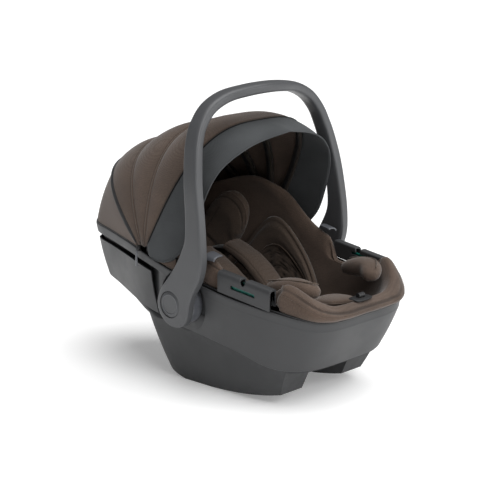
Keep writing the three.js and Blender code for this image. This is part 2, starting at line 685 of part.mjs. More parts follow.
/** Fabric from the shell's rear lip up to the zip. */
function canopyRearPanel(zip) {
  const columns = 22;
  const rows = 4;
  const widest = 0.975;
  const skin = (inset) => range(rows + 1).map((row) => range(columns + 1).map((column) => {
    const t = lerp(-widest, widest, column / columns);
    const share = row / rows;
    const bulge = REAR_PUFF * Math.sin(Math.PI * share);
    const section = canopySection(t, CANOPY_HALF_WIDTH - inset, zip.radius - inset, zip.squareness);
    const seam = aroundHinge(section.x, section.reach, zip.angle - (0.5 / section.reach) * (180 / Math.PI));
    const edgeAngle = easedAngle(lerp(1.87, 0.13, column / columns));
    const edge = planPoint(edgeAngle, RIM_HALF_WIDTH - 3 - inset, RIM_FRONT, HALF_LENGTH - 3 - inset);
    const foot = at(edge.x, edge.y, rimHeight(edge.y) + 1.5);
    const reach = at(0, CANOPY_HINGE.y, CANOPY_HINGE.z);
    const point = foot.lerp(seam, share);
    const outward = at(0, point.y, point.z).sub(reach).normalize();
    return point.addScaledVector(outward, bulge * Math.cos(t * Math.PI / 2));
  }));
  return sheet(skin(0), skin(FABRIC));
}

function visor(front) {
  const columns = 12;
  const rows = 3;
  const edge = new THREE.CatmullRomCurve3(VISOR_STATIONS.map((station) => at(...station)));
  const half = (inset) => range(rows + 1).map((row) => range(columns + 1).map((column) => {
    const share = column / columns;
    const section = canopySection(share * 0.985, CANOPY_HALF_WIDTH + 1.6, front.radius, front.squareness);
    const margin = (0.5 / section.reach) * (180 / Math.PI);
    const seam = aroundHinge(section.x, section.reach, front.angle + margin);
    const point = edge.getPoint(share).lerp(seam, row / rows);
    const middle = at(0, CANOPY_HINGE.y + 20, CANOPY_HINGE.z);
    const inward = middle.sub(point);
    inward.x *= 1.6;
    return point.addScaledVector(inward.normalize(), inset);
  }));
  const whole = (inset) => half(inset).map((row) => [
    ...row.slice(1).reverse().map((p) => at(-p.x, p.y, p.z)), ...row,
  ]);
  return sheet(whole(0), whole(1.8));
}

/** Plate inside the rim that carries the hinge pin. */
const canopyBracket = () => cut(
  prismX([[71, 250], [91, 250], [88, 266], [74, 266]], 160.6, 162.6),
  rodX(2.4, 150, 200, CANOPY_HINGE.y, CANOPY_HINGE.z, 12));

const canopyPin = () => rodX(2, 159, 179, CANOPY_HINGE.y, CANOPY_HINGE.z, 12);

const zipPull = () => ribbon([
  at(188.8, 94.5, 269), at(190.6, 96, 259), at(190.2, 97, 248), at(188.5, 98, 234),
], 7, 1.6, at(0, 1, 0));

// ---- harness -----------------------------------------------------------------------------

const ACROSS = at(1, 0, 0);

const shoulderStrap = () => ribbon([
  onBack(42, 160, 62), onBack(43, 120, 92), onBack(44, 60, 98),
  onBack(41, 0, 96), onBack(34, -52, 92), onBack(27, -80, 88),
], STRAP_WIDTH, STRAP_THICKNESS, ACROSS);

const shoulderPad = () => ribbon([
  onBack(43, 116, 106), onBack(45, 60, 114), onBack(42, 0, 111), onBack(36, -46, 106),
], 62, 18, ACROSS, 10);

const lapStrap = () => ribbon([
  at(88, -92, 152), at(78, -112, 160), at(60, -126, 162), at(41, -134, 163),
], 30, STRAP_THICKNESS, at(0, 0.75, 0.65));

const buckleBody = () => cut(
  ribbon([at(0, -122, 156), at(0, -150, 170), at(0, -178, 178)], 52, 20, ACROSS, 10),
  rodX(7.5, -11, 11, -158, 184, 12));

const buckleButton = () => rodX(6.8, -10, 10, -158, 186, 12);

const buckleTongue = () => ribbon([
  at(33, -128, 160), at(30, -141, 159), at(28, -150, 158.5),
], 12, 3, at(0, 0.4, 0.9));

const crotchStrap = () => ribbon([
  at(0, -138, 124), at(0, -150, 136), at(0, -160, 152),
], 36, STRAP_THICKNESS, ACROSS);

const crotchPad = () => ribbon([
  at(0, -200, 176), at(0, -232, 188), at(0, -268, 194), at(0, -300, 197),
], 78, 14, ACROSS, 12);

// ---- front: bolster, harness adjuster ----------------------------------------------------

const legBolster = () => ribbon([
  at(108, -200, 229), at(108, -238, 234), at(96, -268, 235), at(66, -284, 230),
], 34, 36, at(0, 0, 1), 10);

// ---- small pieces ------------------------------------------------------------------------

/** Light tab that holds the cover's edge on the crest. */
const coverHook = () => prismX([[-110, 275], [-86, 280], [-86, 284], [-110, 279]], 158, 181);

const guideInsert = () => tipped(guidePrism([
  [177, 234], [178.5, 234], [178.5, 245], [177, 245],
], -152, -216));

const adjusterPlate = () => cut(
  ribbon([at(0, -309, 209.6), at(0, -322, 210.4), at(0, -336, 208)], 50, 3, ACROSS, 8),
  rodX(5.7, -9, 9, -322, 213.4, 12));

const adjusterButton = () => rodX(4.8, -8, 8, -322, 215.2, 12);

const lockBarReach = SKID_GAP_HALF_WIDTH - FIT_GAP;
const baseLockBar = (y, z) => rodX(5, -lockBarReach, lockBarReach, y, z, 12);

// ---- assembly ----------------------------------------------------------------------------

const [zipBow, rearBow, middleBow, frontBow] = BOWS;

addPart('lower_tub', lowerTub(), TUB_GREY);
addPart('upper_shell', upperShell(), SHELL_GREY);
addPart('rear_cover', rearCover(), SHELL_GREY);
addPart('belt_channel', beltChannel(), BLACK);
addPart('foam_liner', foamLiner(), FOAM);
addPart('seat_cover', seatCover(), BROWN);
addPart('newborn_insert', newbornInsert(), DARK_BROWN);
addPart('base_lock_bar_front', baseLockBar(-190, 34), STEEL);
addPart('base_lock_bar_rear', baseLockBar(20, 16), STEEL);
addPair('belt_guide', beltGuide(), SHELL_GREY);
addPair('guide_insert', guideInsert(), TEAL);
addPair('cover_hook', coverHook(), LIGHT_GREY);
addPair('hub_base', hubBase(), LIGHT_GREY);
addPair('handle_axle', handleAxle(), STEEL);
addPart('handle_bow', handleBow(), SHELL_GREY);
addPair('handle_button', handleButton(), SHELL_GREY);
addPair('button_spring', buttonSpring(), STEEL);
BOWS.forEach((bow) => addPart(`canopy_bow_${bow.name}`, canopyBow(bow), BLACK));
addPart('canopy_panel_rear', canopyRearPanel(zipBow), BROWN);
addPart('canopy_panel_zip', canopyPanel(zipBow, rearBow, PANEL_PUFFS.zip), BROWN);
addPart('canopy_panel_middle', canopyPanel(rearBow, middleBow, PANEL_PUFFS.middle), BROWN);
addPart('canopy_panel_front', canopyPanel(middleBow, frontBow, PANEL_PUFFS.front), BROWN);
addPart('canopy_visor', visor(frontBow), GREY_FABRIC);
addPair('canopy_bracket', canopyBracket(), BLACK);
addPair('canopy_pin', canopyPin(), STEEL);
addPart('zip_pull', mirrored(zipPull()), LIGHT_GREY);
addPart('headrest_pad', headrestPad(), DARK_BROWN);
addPart('headrest_board', headrestBoard(), BLACK);
addPair('shoulder_strap', shoulderStrap(), WEBBING);
addPair('shoulder_pad', shoulderPad(), DARK_BROWN);
addPair('lap_strap', lapStrap(), WEBBING);
addPair('buckle_tongue', buckleTongue(), STEEL);
addPart('buckle_body', buckleBody(), BLACK);
addPart('buckle_button', buckleButton(), BLACK);
addPart('crotch_strap', crotchStrap(), WEBBING);
addPart('crotch_pad', crotchPad(), BROWN);
addPair('leg_bolster', legBolster(), BROWN);
addPart('adjuster_plate', adjusterPlate(), LIGHT_GREY);
addPart('adjuster_button', adjusterButton(), BLACK);

export default group;
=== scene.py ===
"""Looks of an infant car seat: tub and shell, carrying handle, folding canopy and padded bucket.

Sizes are in millimetres, +Z up, the feet towards -Y, and each mesh is written in metres. Every class
below builds one sub-assembly, dresses it in its finishes and says which body it moves with.
"""

from __future__ import annotations

import logging
import math
from dataclasses import dataclass
from enum import Enum
from typing import Callable, Sequence

import bmesh
import bpy
from mathutils import Matrix, Vector, noise


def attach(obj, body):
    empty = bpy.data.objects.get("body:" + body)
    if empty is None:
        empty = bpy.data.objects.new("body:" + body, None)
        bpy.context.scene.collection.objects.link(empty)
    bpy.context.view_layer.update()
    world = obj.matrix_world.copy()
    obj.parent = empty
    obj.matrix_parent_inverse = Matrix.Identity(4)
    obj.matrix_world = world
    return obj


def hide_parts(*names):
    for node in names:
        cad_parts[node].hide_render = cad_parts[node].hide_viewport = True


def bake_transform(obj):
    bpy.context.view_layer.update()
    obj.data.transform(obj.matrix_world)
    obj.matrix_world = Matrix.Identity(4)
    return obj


log = logging.getLogger("car_seat")

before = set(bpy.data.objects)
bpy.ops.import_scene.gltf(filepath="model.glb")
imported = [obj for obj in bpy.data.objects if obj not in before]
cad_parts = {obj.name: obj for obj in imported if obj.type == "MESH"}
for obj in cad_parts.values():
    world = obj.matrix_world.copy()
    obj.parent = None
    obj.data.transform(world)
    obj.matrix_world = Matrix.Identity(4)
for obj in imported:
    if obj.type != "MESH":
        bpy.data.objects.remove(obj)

Rows = list[list[Vector]]
Stations = Sequence[tuple[float, float]]
Colour = tuple[float, float, float]

# Point attribute holding how deep each point lies in a seam; the cloth darkens its colour by it as painted shade.
SEAM = "seam_depth"


class Side(Enum):
    """Which side of the seat a twin piece is on."""

    RIGHT = 1
    LEFT = -1

    @property
    def tag(self) -> str:
        """Ending of a twin's name."""
        return self.name.lower()


# ---- shape helpers -----------------------------------------------------------------------


def mix(low: float, high: float, share: float) -> float:
    """Value a share of the way from low to high."""
    return low + (high - low) * share


def ease(low: float, high: float, value: float) -> float:
    """Smooth step from 0 at low to 1 at high."""
    t = min(max((value - low) / (high - low), 0.0), 1.0)
    return t * t * (3.0 - 2.0 * t)


def power(value: float, exponent: float) -> float:
    """Signed power, for superellipses."""
    return math.copysign(abs(value) ** exponent, value)


def height_at(stations: Stations, y: float) -> float:
    """Height on a smooth curve through stations.

    Args:
        stations: Pairs of y and height, from the feet to the head.
        y: Where the height is wanted.

    Returns:
        The height in millimetres.
    """
    last = len(stations) - 1
    if y <= stations[0][0]:
        return stations[0][1]
    if y >= stations[last][0]:
        return stations[last][1]
    index = next(i for i, station in enumerate(stations) if station[0] > y) - 1

    def slope(i: int) -> float:
        """Slope at one station from its neighbours."""
        before = stations[max(i - 1, 0)]
        after = stations[min(i + 1, last)]
        return (after[1] - before[1]) / (after[0] - before[0])

    (y0, z0), (y1, z1) = stations[index], stations[index + 1]
    span = y1 - y0
    t = (y - y0) / span
    start = slope(index) * span * t * (1 - t) ** 2
    end = slope(index + 1) * span * t * t * (t - 1)
    return mix(z0, z1, t * t * (3 - 2 * t)) + start + end


def eased_angle(quarters: float) -> float:
    """Angle after some quarter turns, eased so that points spread evenly on a square outline."""
    whole = math.floor(quarters)
    return (math.pi / 2) * (whole + ease(0, 1, quarters - whole))


def curve_through(points: Sequence[Vector], steps: int, closed: bool = False) -> list[Vector]:
    """Smooth curve through points.

    Args:
        points: Points that the curve passes.
        steps: Points given for each span.
        closed: Whether the curve joins up with its start.

    Returns:
        The points along the curve.
    """
    count = len(points)
    spans = count if closed else count - 1
    out: list[Vector] = []

    def point(i: int) -> Vector:
        """One given point, wrapped or held at the ends."""
        return points[i % count] if closed else points[min(max(i, 0), count - 1)]

    for span in range(spans):
        a, b, c, d = (point(span + k) for k in (-1, 0, 1, 2))
        for step in range(steps):
            t = step / steps
            out.append(
                0.5 * ((2 * b) + (c - a) * t + (2 * a - 5 * b + 4 * c - d) * t * t
                       + (3 * b - a - 3 * c + d) * t ** 3))
    if not closed:
        out.append(points[-1].copy())
    return out


def even_points(path: Sequence[Vector], count: int) -> list[Vector]:
    """Points at even distances along a path."""
    lengths = [0.0]
    for a, b in zip(path, path[1:]):
        lengths.append(lengths[-1] + (b - a).length)
    out: list[Vector] = []
    span = 0
    for i in range(count):
        goal = lengths[-1] * i / (count - 1)
        while span < len(path) - 2 and lengths[span + 1] < goal:
            span += 1
        piece = max(lengths[span + 1] - lengths[span], 1e-9)
        out.append(path[span].lerp(path[span + 1], min(max((goal - lengths[span]) / piece, 0), 1)))
    return out


def tangent_at(path: Sequence[Vector], index: int, closed: bool = False) -> Vector:
    """Unit direction of a path at one of its points."""
    if closed:
        return (path[(index + 1) % len(path)] - path[index - 1]).normalized()
    return (path[min(index + 1, len(path) - 1)] - path[max(index - 1, 0)]).normalized()


def soft_box(angle: float, squareness: float = 0.5) -> tuple[float, float]:
    """Point of a unit superellipse; a smaller squareness gives squarer shoulders."""
    return power(math.cos(angle), squareness), power(math.sin(angle), squareness)


# ---- mesh helpers ------------------------------------------------------------------------


def raw_mesh(name: str, points: Sequence[Vector], faces: Sequence[Sequence[int]]) -> bpy.types.Object:
    """Object with its faces turned outwards and shaded smooth.

    Args:
        name: Name of the object.
        points: Points in millimetres.
        faces: Indices of each face's points.

    Returns:
        The linked object.
    """
    mesh = bpy.data.meshes.new(name)
    mesh.from_pydata([tuple(point * 0.001) for point in points], [], [list(face) for face in faces])
    build = bmesh.new()
    build.from_mesh(mesh)
    bmesh.ops.remove_doubles(build, verts=build.verts, dist=1e-6)
    bmesh.ops.recalc_face_normals(build, faces=build.faces)
    build.to_mesh(mesh)
    build.free()
    mesh.shade_smooth()
    piece = bpy.data.objects.new(name, mesh)
    bpy.context.scene.collection.objects.link(piece)
    return piece


def skin(name: str, rows: Rows, round_rows: bool = False, looped: bool = False,
         capped: bool = False) -> bpy.types.Object:
    """Surface through rows of points.

    Args:
        name: Name of the object.
        rows: Equal rows of points.
        round_rows: Whether each row closes on itself.
        looped: Whether the last row joins the first.
        capped: Whether round rows are closed by a fan at both ends.

    Returns:
        The linked object.
    """
    columns = len(rows[0])
    points = [point for row in rows for point in row]
    faces: list[tuple[int, ...]] = []
    for row in range(len(rows) if looped else len(rows) - 1):
        above = (row + 1) % len(rows)
        for i in range(columns if round_rows else columns - 1):
            following = (i + 1) % columns
            faces.append((row * columns + i, row * columns + following,
                          above * columns + following, above * columns + i))
    if capped:
        for row in (0, len(rows) - 1):
            middle = sum(rows[row], Vector()) / columns
            points.append(middle)
            for i in range(columns):
                faces.append((len(points) - 1, row * columns + (i + 1) % columns, row * columns + i))
    return raw_mesh(name, points, faces)


def settle(piece: bpy.types.Object) -> bpy.types.Object:
    """Applies every modifier on a piece."""
    bpy.context.view_layer.update()
    graph = bpy.context.evaluated_depsgraph_get()
    mesh = bpy.data.meshes.new_from_object(
        piece.evaluated_get(graph), preserve_all_data_layers=True, depsgraph=graph)
    piece.modifiers.clear()
    piece.data = mesh
    return piece


def subdivided(piece: bpy.types.Object, levels: int = 1) -> bpy.types.Object:
    """Subdivides a piece into a smoother surface."""
    step = piece.modifiers.new("smooth", "SUBSURF")
    step.levels = levels
    step.render_levels = levels
    return settle(piece)


def thickened(piece: bpy.types.Object, thickness: float, outward: bool = False,
              lining: bool = False) -> bpy.types.Object:
    """Gives a surface its thickness.

    Args:
        piece: An open surface.
        thickness: Thickness in millimetres.
        outward: Whether it grows along the normals rather than against them.
        lining: Whether the new side takes the second material.

    Returns:
        The same piece.
    """
    step = piece.modifiers.new("thick", "SOLIDIFY")
    step.thickness = thickness * 0.001
    step.offset = 1.0 if outward else -1.0
    step.use_even_offset = False
    step.material_offset = 1 if lining else 0
    return settle(piece)


def facing(piece: bpy.types.Object, middle: Vector) -> bpy.types.Object:
    """Turns an open surface's faces away from a point."""
    mesh = piece.data
    away = sum((face.center - middle * 0.001).dot(face.normal) * face.area for face in mesh.polygons)
    if away < 0:
        mesh.flip_normals()
    return piece


def carved(piece: bpy.types.Object, tool: bpy.types.Object, how: str = "DIFFERENCE") -> bpy.types.Object:
    """Cuts a piece with a tool, which is used up."""
    step = piece.modifiers.new("carve", "BOOLEAN")
    step.operation = how
    step.object = tool
    step.solver = "EXACT"
    settle(piece)
    bpy.data.objects.remove(tool, do_unlink=True)
    return piece


def eased_edges(piece: bpy.types.Object, width: float, segments: int = 3,
                limit: float = 32.0) -> bpy.types.Object:
    """Rounds the sharp edges of a piece and keeps its flats flat."""
    step = piece.modifiers.new("edges", "BEVEL")
    step.width = width * 0.001
    step.segments = segments
    step.limit_method = "ANGLE"
    step.angle_limit = math.radians(limit)
    step.harden_normals = True
    step.use_clamp_overlap = True
    return settle(piece)


def disc_tool(name: str, radius: float, low_x: float, high_x: float, y: float, z: float,
              sides: int = 72) -> bpy.types.Object:
    """Round bar along X, used to cut pockets."""
    rows = [[Vector((x, y + radius * math.cos(2 * math.pi * i / sides),
                     z + radius * math.sin(2 * math.pi * i / sides))) for i in range(sides)]
            for x in (low_x, high_x)]
    return skin(name, rows, round_rows=True, capped=True)


def prism_tool(name: str, outline: Sequence[tuple[float, float]], low_x: float,
               high_x: float) -> bpy.types.Object:
    """Prism of a y-z outline along X, used to cut the tub."""
    count = len(outline)
    points = [Vector((x, y, z)) for x in (low_x, high_x) for y, z in outline]
    faces: list[tuple[int, ...]] = [tuple(range(count)), tuple(range(2 * count - 1, count - 1, -1))]
    for i in range(count):
        following = (i + 1) % count
        faces.append((i, following, count + following, count + i))
    return raw_mesh(name, points, faces)


def sweep(name: str, path: Sequence[Vector], section: Callable[[float], list[tuple[float, float]]],
          across: Vector, closed: bool = False) -> bpy.types.Object:
    """Solid swept along a path.

    Args:
        name: Name of the object.
        path: Points of the path.
        section: Gives the section's side and height pairs for a share of the path.
        across: Direction that the section's first number runs in.
        closed: Whether the path is a loop.

    Returns:
        The linked object.
    """
    rows: Rows = []
    side = across.normalized()
    for index, centre in enumerate(path):
        tangent = tangent_at(path, index, closed)
        flat = side - tangent * side.dot(tangent)
        if flat.length < 0.15:
            flat = tangent.orthogonal()
        flat.normalize()
        if closed or across.length > 1.5:
            side = flat
        up = tangent.cross(flat)
        share = index / max(len(path) - 1, 1)
        rows.append([centre + flat * u + up * v for u, v in section(share)])
    return skin(name, rows, round_rows=True, looped=closed, capped=not closed)


def round_section(radius: float, sides: int = 8) -> Callable[[float], list[tuple[float, float]]]:
    """Section of a round cord, narrowed at both ends of the path."""
    def section(share: float) -> list[tuple[float, float]]:
        """Points of the circle at one share of the path."""
        size = radius * (0.45 + 0.55 * ease(0, 0.01, min(share, 1 - share)))
        return [(size * math.cos(2 * math.pi * i / sides), size * math.sin(2 * math.pi * i / sides))
                for i in range(sides)]
    return section


def cord_along(name: str, path: Sequence[Vector], radius: float, closed: bool = False,
               sides: int = 8) -> bpy.types.Object:
    """Piping or binding of one thickness along a path."""
    if closed:
        ring = [(radius * math.cos(2 * math.pi * i / sides), radius * math.sin(2 * math.pi * i / sides))
                for i in range(sides)]
        return sweep(name, path, lambda share: ring, Vector((0, 0, 2)), closed=True)
    return sweep(name, path, round_section(radius, sides), Vector((0.3, 0.2, 2)))


def stitches(name: str, path: Sequence[Vector], outward: Callable[[Vector], Vector],
             pitch: float = 4.4) -> bpy.types.Object:
    """Row of short raised threads.

    Args:
        name: Name of the object.
        path: Line on the cloth that the thread follows.
        outward: Direction off the cloth at a point.
        pitch: Distance from stitch to stitch.

    Returns:
        One object with every stitch.
    """
    length = sum((b - a).length for a, b in zip(path, path[1:]))
    marks = even_points(path, max(int(length / pitch) * 4 + 1, 5))
    points: list[Vector] = []
    faces: list[tuple[int, ...]] = []
    for start in range(0, len(marks) - 4, 4):
        a, b = marks[start], marks[start + 3]
        run = (b - a).normalized()
        off = outward(a).normalized()
        side = run.cross(off).normalized()
        base = len(points)
        for share, lift, half in ((0.0, -0.2, 0.12), (0.25, 0.3, 0.42), (0.75, 0.3, 0.42),
                                  (1.0, -0.2, 0.12)):
            centre = a.lerp(b, share) + off * lift
            points += [centre + side * half, centre + off * half, centre - side * half, centre - off * half]
        for k in range(3):
            for j in range(4):
                low = base + 4 * k
                faces.append((low + j, low + (j + 1) % 4, low + 4 + (j + 1) % 4, low + 4 + j))
        faces.append((base, base + 3, base + 2, base + 1))
        faces.append((base + 12, base + 13, base + 14, base + 15))
    return raw_mesh(name, points, faces)


def mark_seams(piece: bpy.types.Object, depth_at: Callable[[Vector], float],
               sink: float = 0.0) -> bpy.types.Object:
    """Presses seams into a surface and records how deep each point lies in one, which the cloth's material turns
    into painted shade along the seam.

    Args:
        piece: The cloth.
        depth_at: Depth from 0 to 1 at a point in millimetres, which also sets the painted shade.
        sink: How far the deepest point is pressed in, in millimetres.

    Returns:
        The same piece.
    """
    mesh = piece.data
    layer = mesh.attributes.get(SEAM) or mesh.attributes.new(SEAM, "FLOAT", "POINT")
    depths = [depth_at(vertex.co * 1000.0) for vertex in mesh.vertices]
    normals = [vertex.normal.copy() for vertex in mesh.vertices]
    for vertex, depth, normal in zip(mesh.vertices, depths, normals):
        layer.data[vertex.index].value = depth
        if sink and depth > 0.001:
            vertex.co -= normal * (sink * 0.001 * depth)
    mesh.update()
    return piece


def ruffled(piece: bpy.types.Object, height: float, size: float, seed: float = 0.0) -> bpy.types.Object:
    """Soft hand-made unevenness of padded cloth, up to a height in millimetres."""
    mesh = piece.data
    normals = [vertex.normal.copy() for vertex in mesh.vertices]
    for vertex, normal in zip(mesh.vertices, normals):
        place = vertex.co * (1000.0 / size) + Vector((seed, seed * 0.7, -seed))
        vertex.co += normal * (height * 0.001 * noise.noise(place))
    mesh.update()
    return piece


def plumped(piece: bpy.types.Object, cap: float, voxel: float = 5.0,
            pressure: float = 4.0) -> bpy.types.Object:
    """Fills a padded piece by letting its cloth swell, then smooths it.

    Args:
        piece: Closed form, a little smaller than the finished pad.
        cap: How far any point may move, in millimetres.
        voxel: Size of the cloth's cells in millimetres.
        pressure: Air pressure inside the cloth.

    Returns:
        The same piece, with nothing left to simulate.
    """
    remesh = piece.modifiers.new("cells", "REMESH")
    remesh.mode = "VOXEL"
    remesh.voxel_size = voxel * 0.001
    settle(piece)
    before = [vertex.co.copy() for vertex in piece.data.vertices]
    cloth = piece.modifiers.new("fill", "CLOTH")
    cloth.settings.use_pressure = True
    cloth.settings.uniform_pressure_force = pressure
    cloth.settings.effector_weights.gravity = 0.0
    cloth.settings.quality = 5
    cloth.point_cache.frame_start = 1
    cloth.point_cache.frame_end = 20
    for number in range(1, 21):
        bpy.context.scene.frame_set(number)
    settle(piece)
    bpy.context.scene.frame_set(1)
    limit = cap * 0.001
    for vertex, start in zip(piece.data.vertices, before):
        move = vertex.co - start
        if move.length > limit:
            vertex.co = start + move * (limit / move.length)
    smooth = piece.modifiers.new("relax", "SMOOTH")
    smooth.factor = 0.5
    smooth.iterations = 6
    settle(piece)
    piece.data.shade_smooth()
    return subdivided(piece, 1)


def lathed(name: str, profile: Sequence[tuple[float, float]], centre: Vector, side: float,
           looped: bool = False, sides: int = 80) -> bpy.types.Object:
    """Round piece about a line along X, from radius and x pairs given for the right side."""
    turns = [2 * math.pi * i / sides for i in range(sides)]
    rows = [[Vector((side * x, centre.y + radius * math.cos(a),
                     centre.z + radius * math.sin(a))) for a in turns]
            for radius, x in profile]
    return skin(name, rows, round_rows=True, looped=looped)


# ---- finishes ----------------------------------------------------------------------------


class GroupMaker:
    """Fills one shader node group that several materials share."""

    def __init__(self, name: str, takes: dict[str, object], gives: dict[str, str]) -> None:
        """Makes the group with its named sockets.

        Args:
            name: Name of the group.
            takes: Default of each input; a tuple is a colour, None a vector.
            gives: Kind of each output, Float or Color.
        """
        self.tree = bpy.data.node_groups.new(name, "ShaderNodeTree")
        for label, default in takes.items():
            kind = {float: "NodeSocketFloat", tuple: "NodeSocketColor"}.get(type(default),
                                                                            "NodeSocketVector")
            socket = self.tree.interface.new_socket(label, in_out="INPUT", socket_type=kind)
            if isinstance(default, float):
                socket.default_value = default
            if isinstance(default, tuple):
                socket.default_value = (*default, 1.0)
        for label, kind in gives.items():
            self.tree.interface.new_socket(label, in_out="OUTPUT", socket_type=f"NodeSocket{kind}")
        self.source = self.tree.nodes.new("NodeGroupInput")
        self.sink = self.tree.nodes.new("NodeGroupOutput")

    def node(self, kind: str, links: dict[object, object] | None = None,
             **settings: object) -> bpy.types.Node:
        """Adds a node, sets it up and links or fills its inputs."""
        return place_node(self.tree, kind, links or {}, **settings)

    def give(self, label: str, socket: bpy.types.NodeSocket) -> None:
        """Sends a socket out of the group."""
        self.tree.links.new(socket, self.sink.inputs[label])

    def sum_of(self, how: str, a: object, b: object) -> bpy.types.NodeSocket:
        """Result of one math node."""
        return self.node("ShaderNodeMath", {0: a, 1: b}, operation=how).outputs[0]


def place_node(tree: bpy.types.NodeTree, kind: str, links: dict[object, object],
               **settings: object) -> bpy.types.Node:
    """Adds a node to a tree.

    Args:
        tree: The material's or group's tree.
        kind: Node type.
        links: Input name or number, with a socket to link or a value to set.
        settings: Properties of the node.

    Returns:
        The new node.
    """
    node = tree.nodes.new(kind)
    for label, value in settings.items():
        setattr(node, label, value)
    for label, value in links.items():
        socket = node.inputs[label]
        if isinstance(value, bpy.types.NodeSocket):
            tree.links.new(value, socket)
        else:
            socket.default_value = value
    return node


def ramp_node(tree: bpy.types.NodeTree, value: bpy.types.NodeSocket, low: float, high: float,
              floor: float = 0.0, top: float = 1.0) -> bpy.types.NodeSocket:
    """Maps a range smoothly onto another."""
    return place_node(tree, "ShaderNodeMapRange", {"Value": value, "From Min": low, "From Max": high,
                                                   "To Min": floor, "To Max": top},
                      interpolation_type="SMOOTHSTEP").outputs["Result"]


def melange_weave() -> bpy.types.NodeTree:
    """Woven melange cloth: threads crossing in every direction, two yarn colours, and painted shade in the weave's
    hollows with painted highlight on its crossings.
    """
    maker = GroupMaker("Melange weave", {"Place": None, "Threads": 900.0, "Yarn": (0.1, 0.08, 0.06),
                                         "Fleck": (0.06, 0.05, 0.04), "Melange": 0.5},
                       {"Colour": "Color", "Height": "Float"})
    takes = maker.source.outputs
    scaled = maker.node("ShaderNodeVectorMath", {0: takes["Place"], "Scale": takes["Threads"]},
                        operation="SCALE")
    waves = maker.node("ShaderNodeVectorMath", {0: scaled.outputs[0]}, operation="SINE")
    parts = maker.node("ShaderNodeSeparateXYZ", {0: waves.outputs[0]}).outputs
    crossed = maker.sum_of("ADD", maker.sum_of("MULTIPLY", parts[0], parts[1]),
                           maker.sum_of("MULTIPLY", parts[1], parts[2]))
    height = maker.sum_of("ADD", crossed, maker.sum_of("MULTIPLY", parts[2], parts[0]))
    yarn = maker.node("ShaderNodeTexNoise", {"Vector": takes["Place"], "Scale": 520.0, "Detail": 3.0,
                                             "Roughness": 0.7})
    broad = maker.node("ShaderNodeTexNoise", {"Vector": takes["Place"], "Scale": 14.0, "Detail": 2.0})
    fleck = ramp_node(maker.tree, yarn.outputs["Fac"], 0.38, 0.66)
    fleck = maker.sum_of("MULTIPLY", fleck, takes["Melange"])
    mixed = maker.node("ShaderNodeMix", {0: fleck, 6: takes["Yarn"], 7: takes["Fleck"]}, data_type="RGBA")
    worn = ramp_node(maker.tree, broad.outputs["Fac"], 0.3, 0.75, 0.88, 1.1)
    # Painted shade and highlight: the colour is darkened where the weave is low and lifted where it is high.
    thread = ramp_node(maker.tree, height, -1.2, 1.2, 0.86, 1.1)
    tone = maker.sum_of("MULTIPLY", worn, thread)
    shaded = maker.node("ShaderNodeVectorMath", {0: mixed.outputs[2], "Scale": tone}, operation="SCALE")
    maker.give("Colour", shaded.outputs[0])
    maker.give("Height", maker.sum_of("ADD", height, yarn.outputs["Fac"]))
    return maker.tree


def moulded_grain() -> bpy.types.NodeTree:
    """Fine spark-eroded grain of moulded plastic."""
    maker = GroupMaker("Moulded grain", {"Place": None, "Cells": 1100.0},
                       {"Height": "Float", "Gloss": "Float"})
    takes = maker.source.outputs
    pits = maker.node("ShaderNodeTexVoronoi", {"Vector": takes["Place"], "Scale": takes["Cells"]})
    fine = maker.node("ShaderNodeTexNoise", {"Vector": takes["Place"], "Scale": takes["Cells"],
                                             "Detail": 2.0})
    hands = maker.node("ShaderNodeTexNoise", {"Vector": takes["Place"], "Scale": 9.0, "Detail": 4.0,
                                              "Roughness": 0.6})
    maker.give("Height", maker.sum_of("ADD", pits.outputs["Distance"], fine.outputs["Fac"]))
    maker.give("Gloss", ramp_node(maker.tree, hands.outputs["Fac"], 0.3, 0.7, -0.05, 0.07))
    return maker.tree


def worn_edges() -> bpy.types.NodeTree:
    """Colour lifted where edges rub, and dulled where dust settles."""
    maker = GroupMaker("Worn edges", {"Place": None, "Base": (0.07, 0.07, 0.07),
                                      "Rubbed": (0.16, 0.16, 0.16),
                                      "Amount": 0.4}, {"Colour": "Color", "Mask": "Float"})
    takes = maker.source.outputs
    shape = maker.node("ShaderNodeNewGeometry")
    ridge = ramp_node(maker.tree, shape.outputs["Pointiness"], 0.52, 0.62)
    patchy = maker.node("ShaderNodeTexNoise", {"Vector": takes["Place"], "Scale": 60.0, "Detail": 5.0})
    broken = ramp_node(maker.tree, patchy.outputs["Fac"], 0.38, 0.6)
    rubbed = maker.sum_of("MULTIPLY", maker.sum_of("MULTIPLY", ridge, broken), takes["Amount"])
    edged = maker.node("ShaderNodeMix", {0: rubbed, 6: takes["Base"], 7: takes["Rubbed"]}, data_type="RGBA")
    drift = maker.node("ShaderNodeTexNoise", {"Vector": takes["Place"], "Scale": 5.0, "Detail": 3.0})
    tone = ramp_node(maker.tree, drift.outputs["Fac"], 0.25, 0.75, 0.93, 1.06)
    shaded = maker.node("ShaderNodeVectorMath", {0: edged.outputs[2], "Scale": tone}, operation="SCALE")
    maker.give("Colour", shaded.outputs[0])
    maker.give("Mask", rubbed)
    return maker.tree


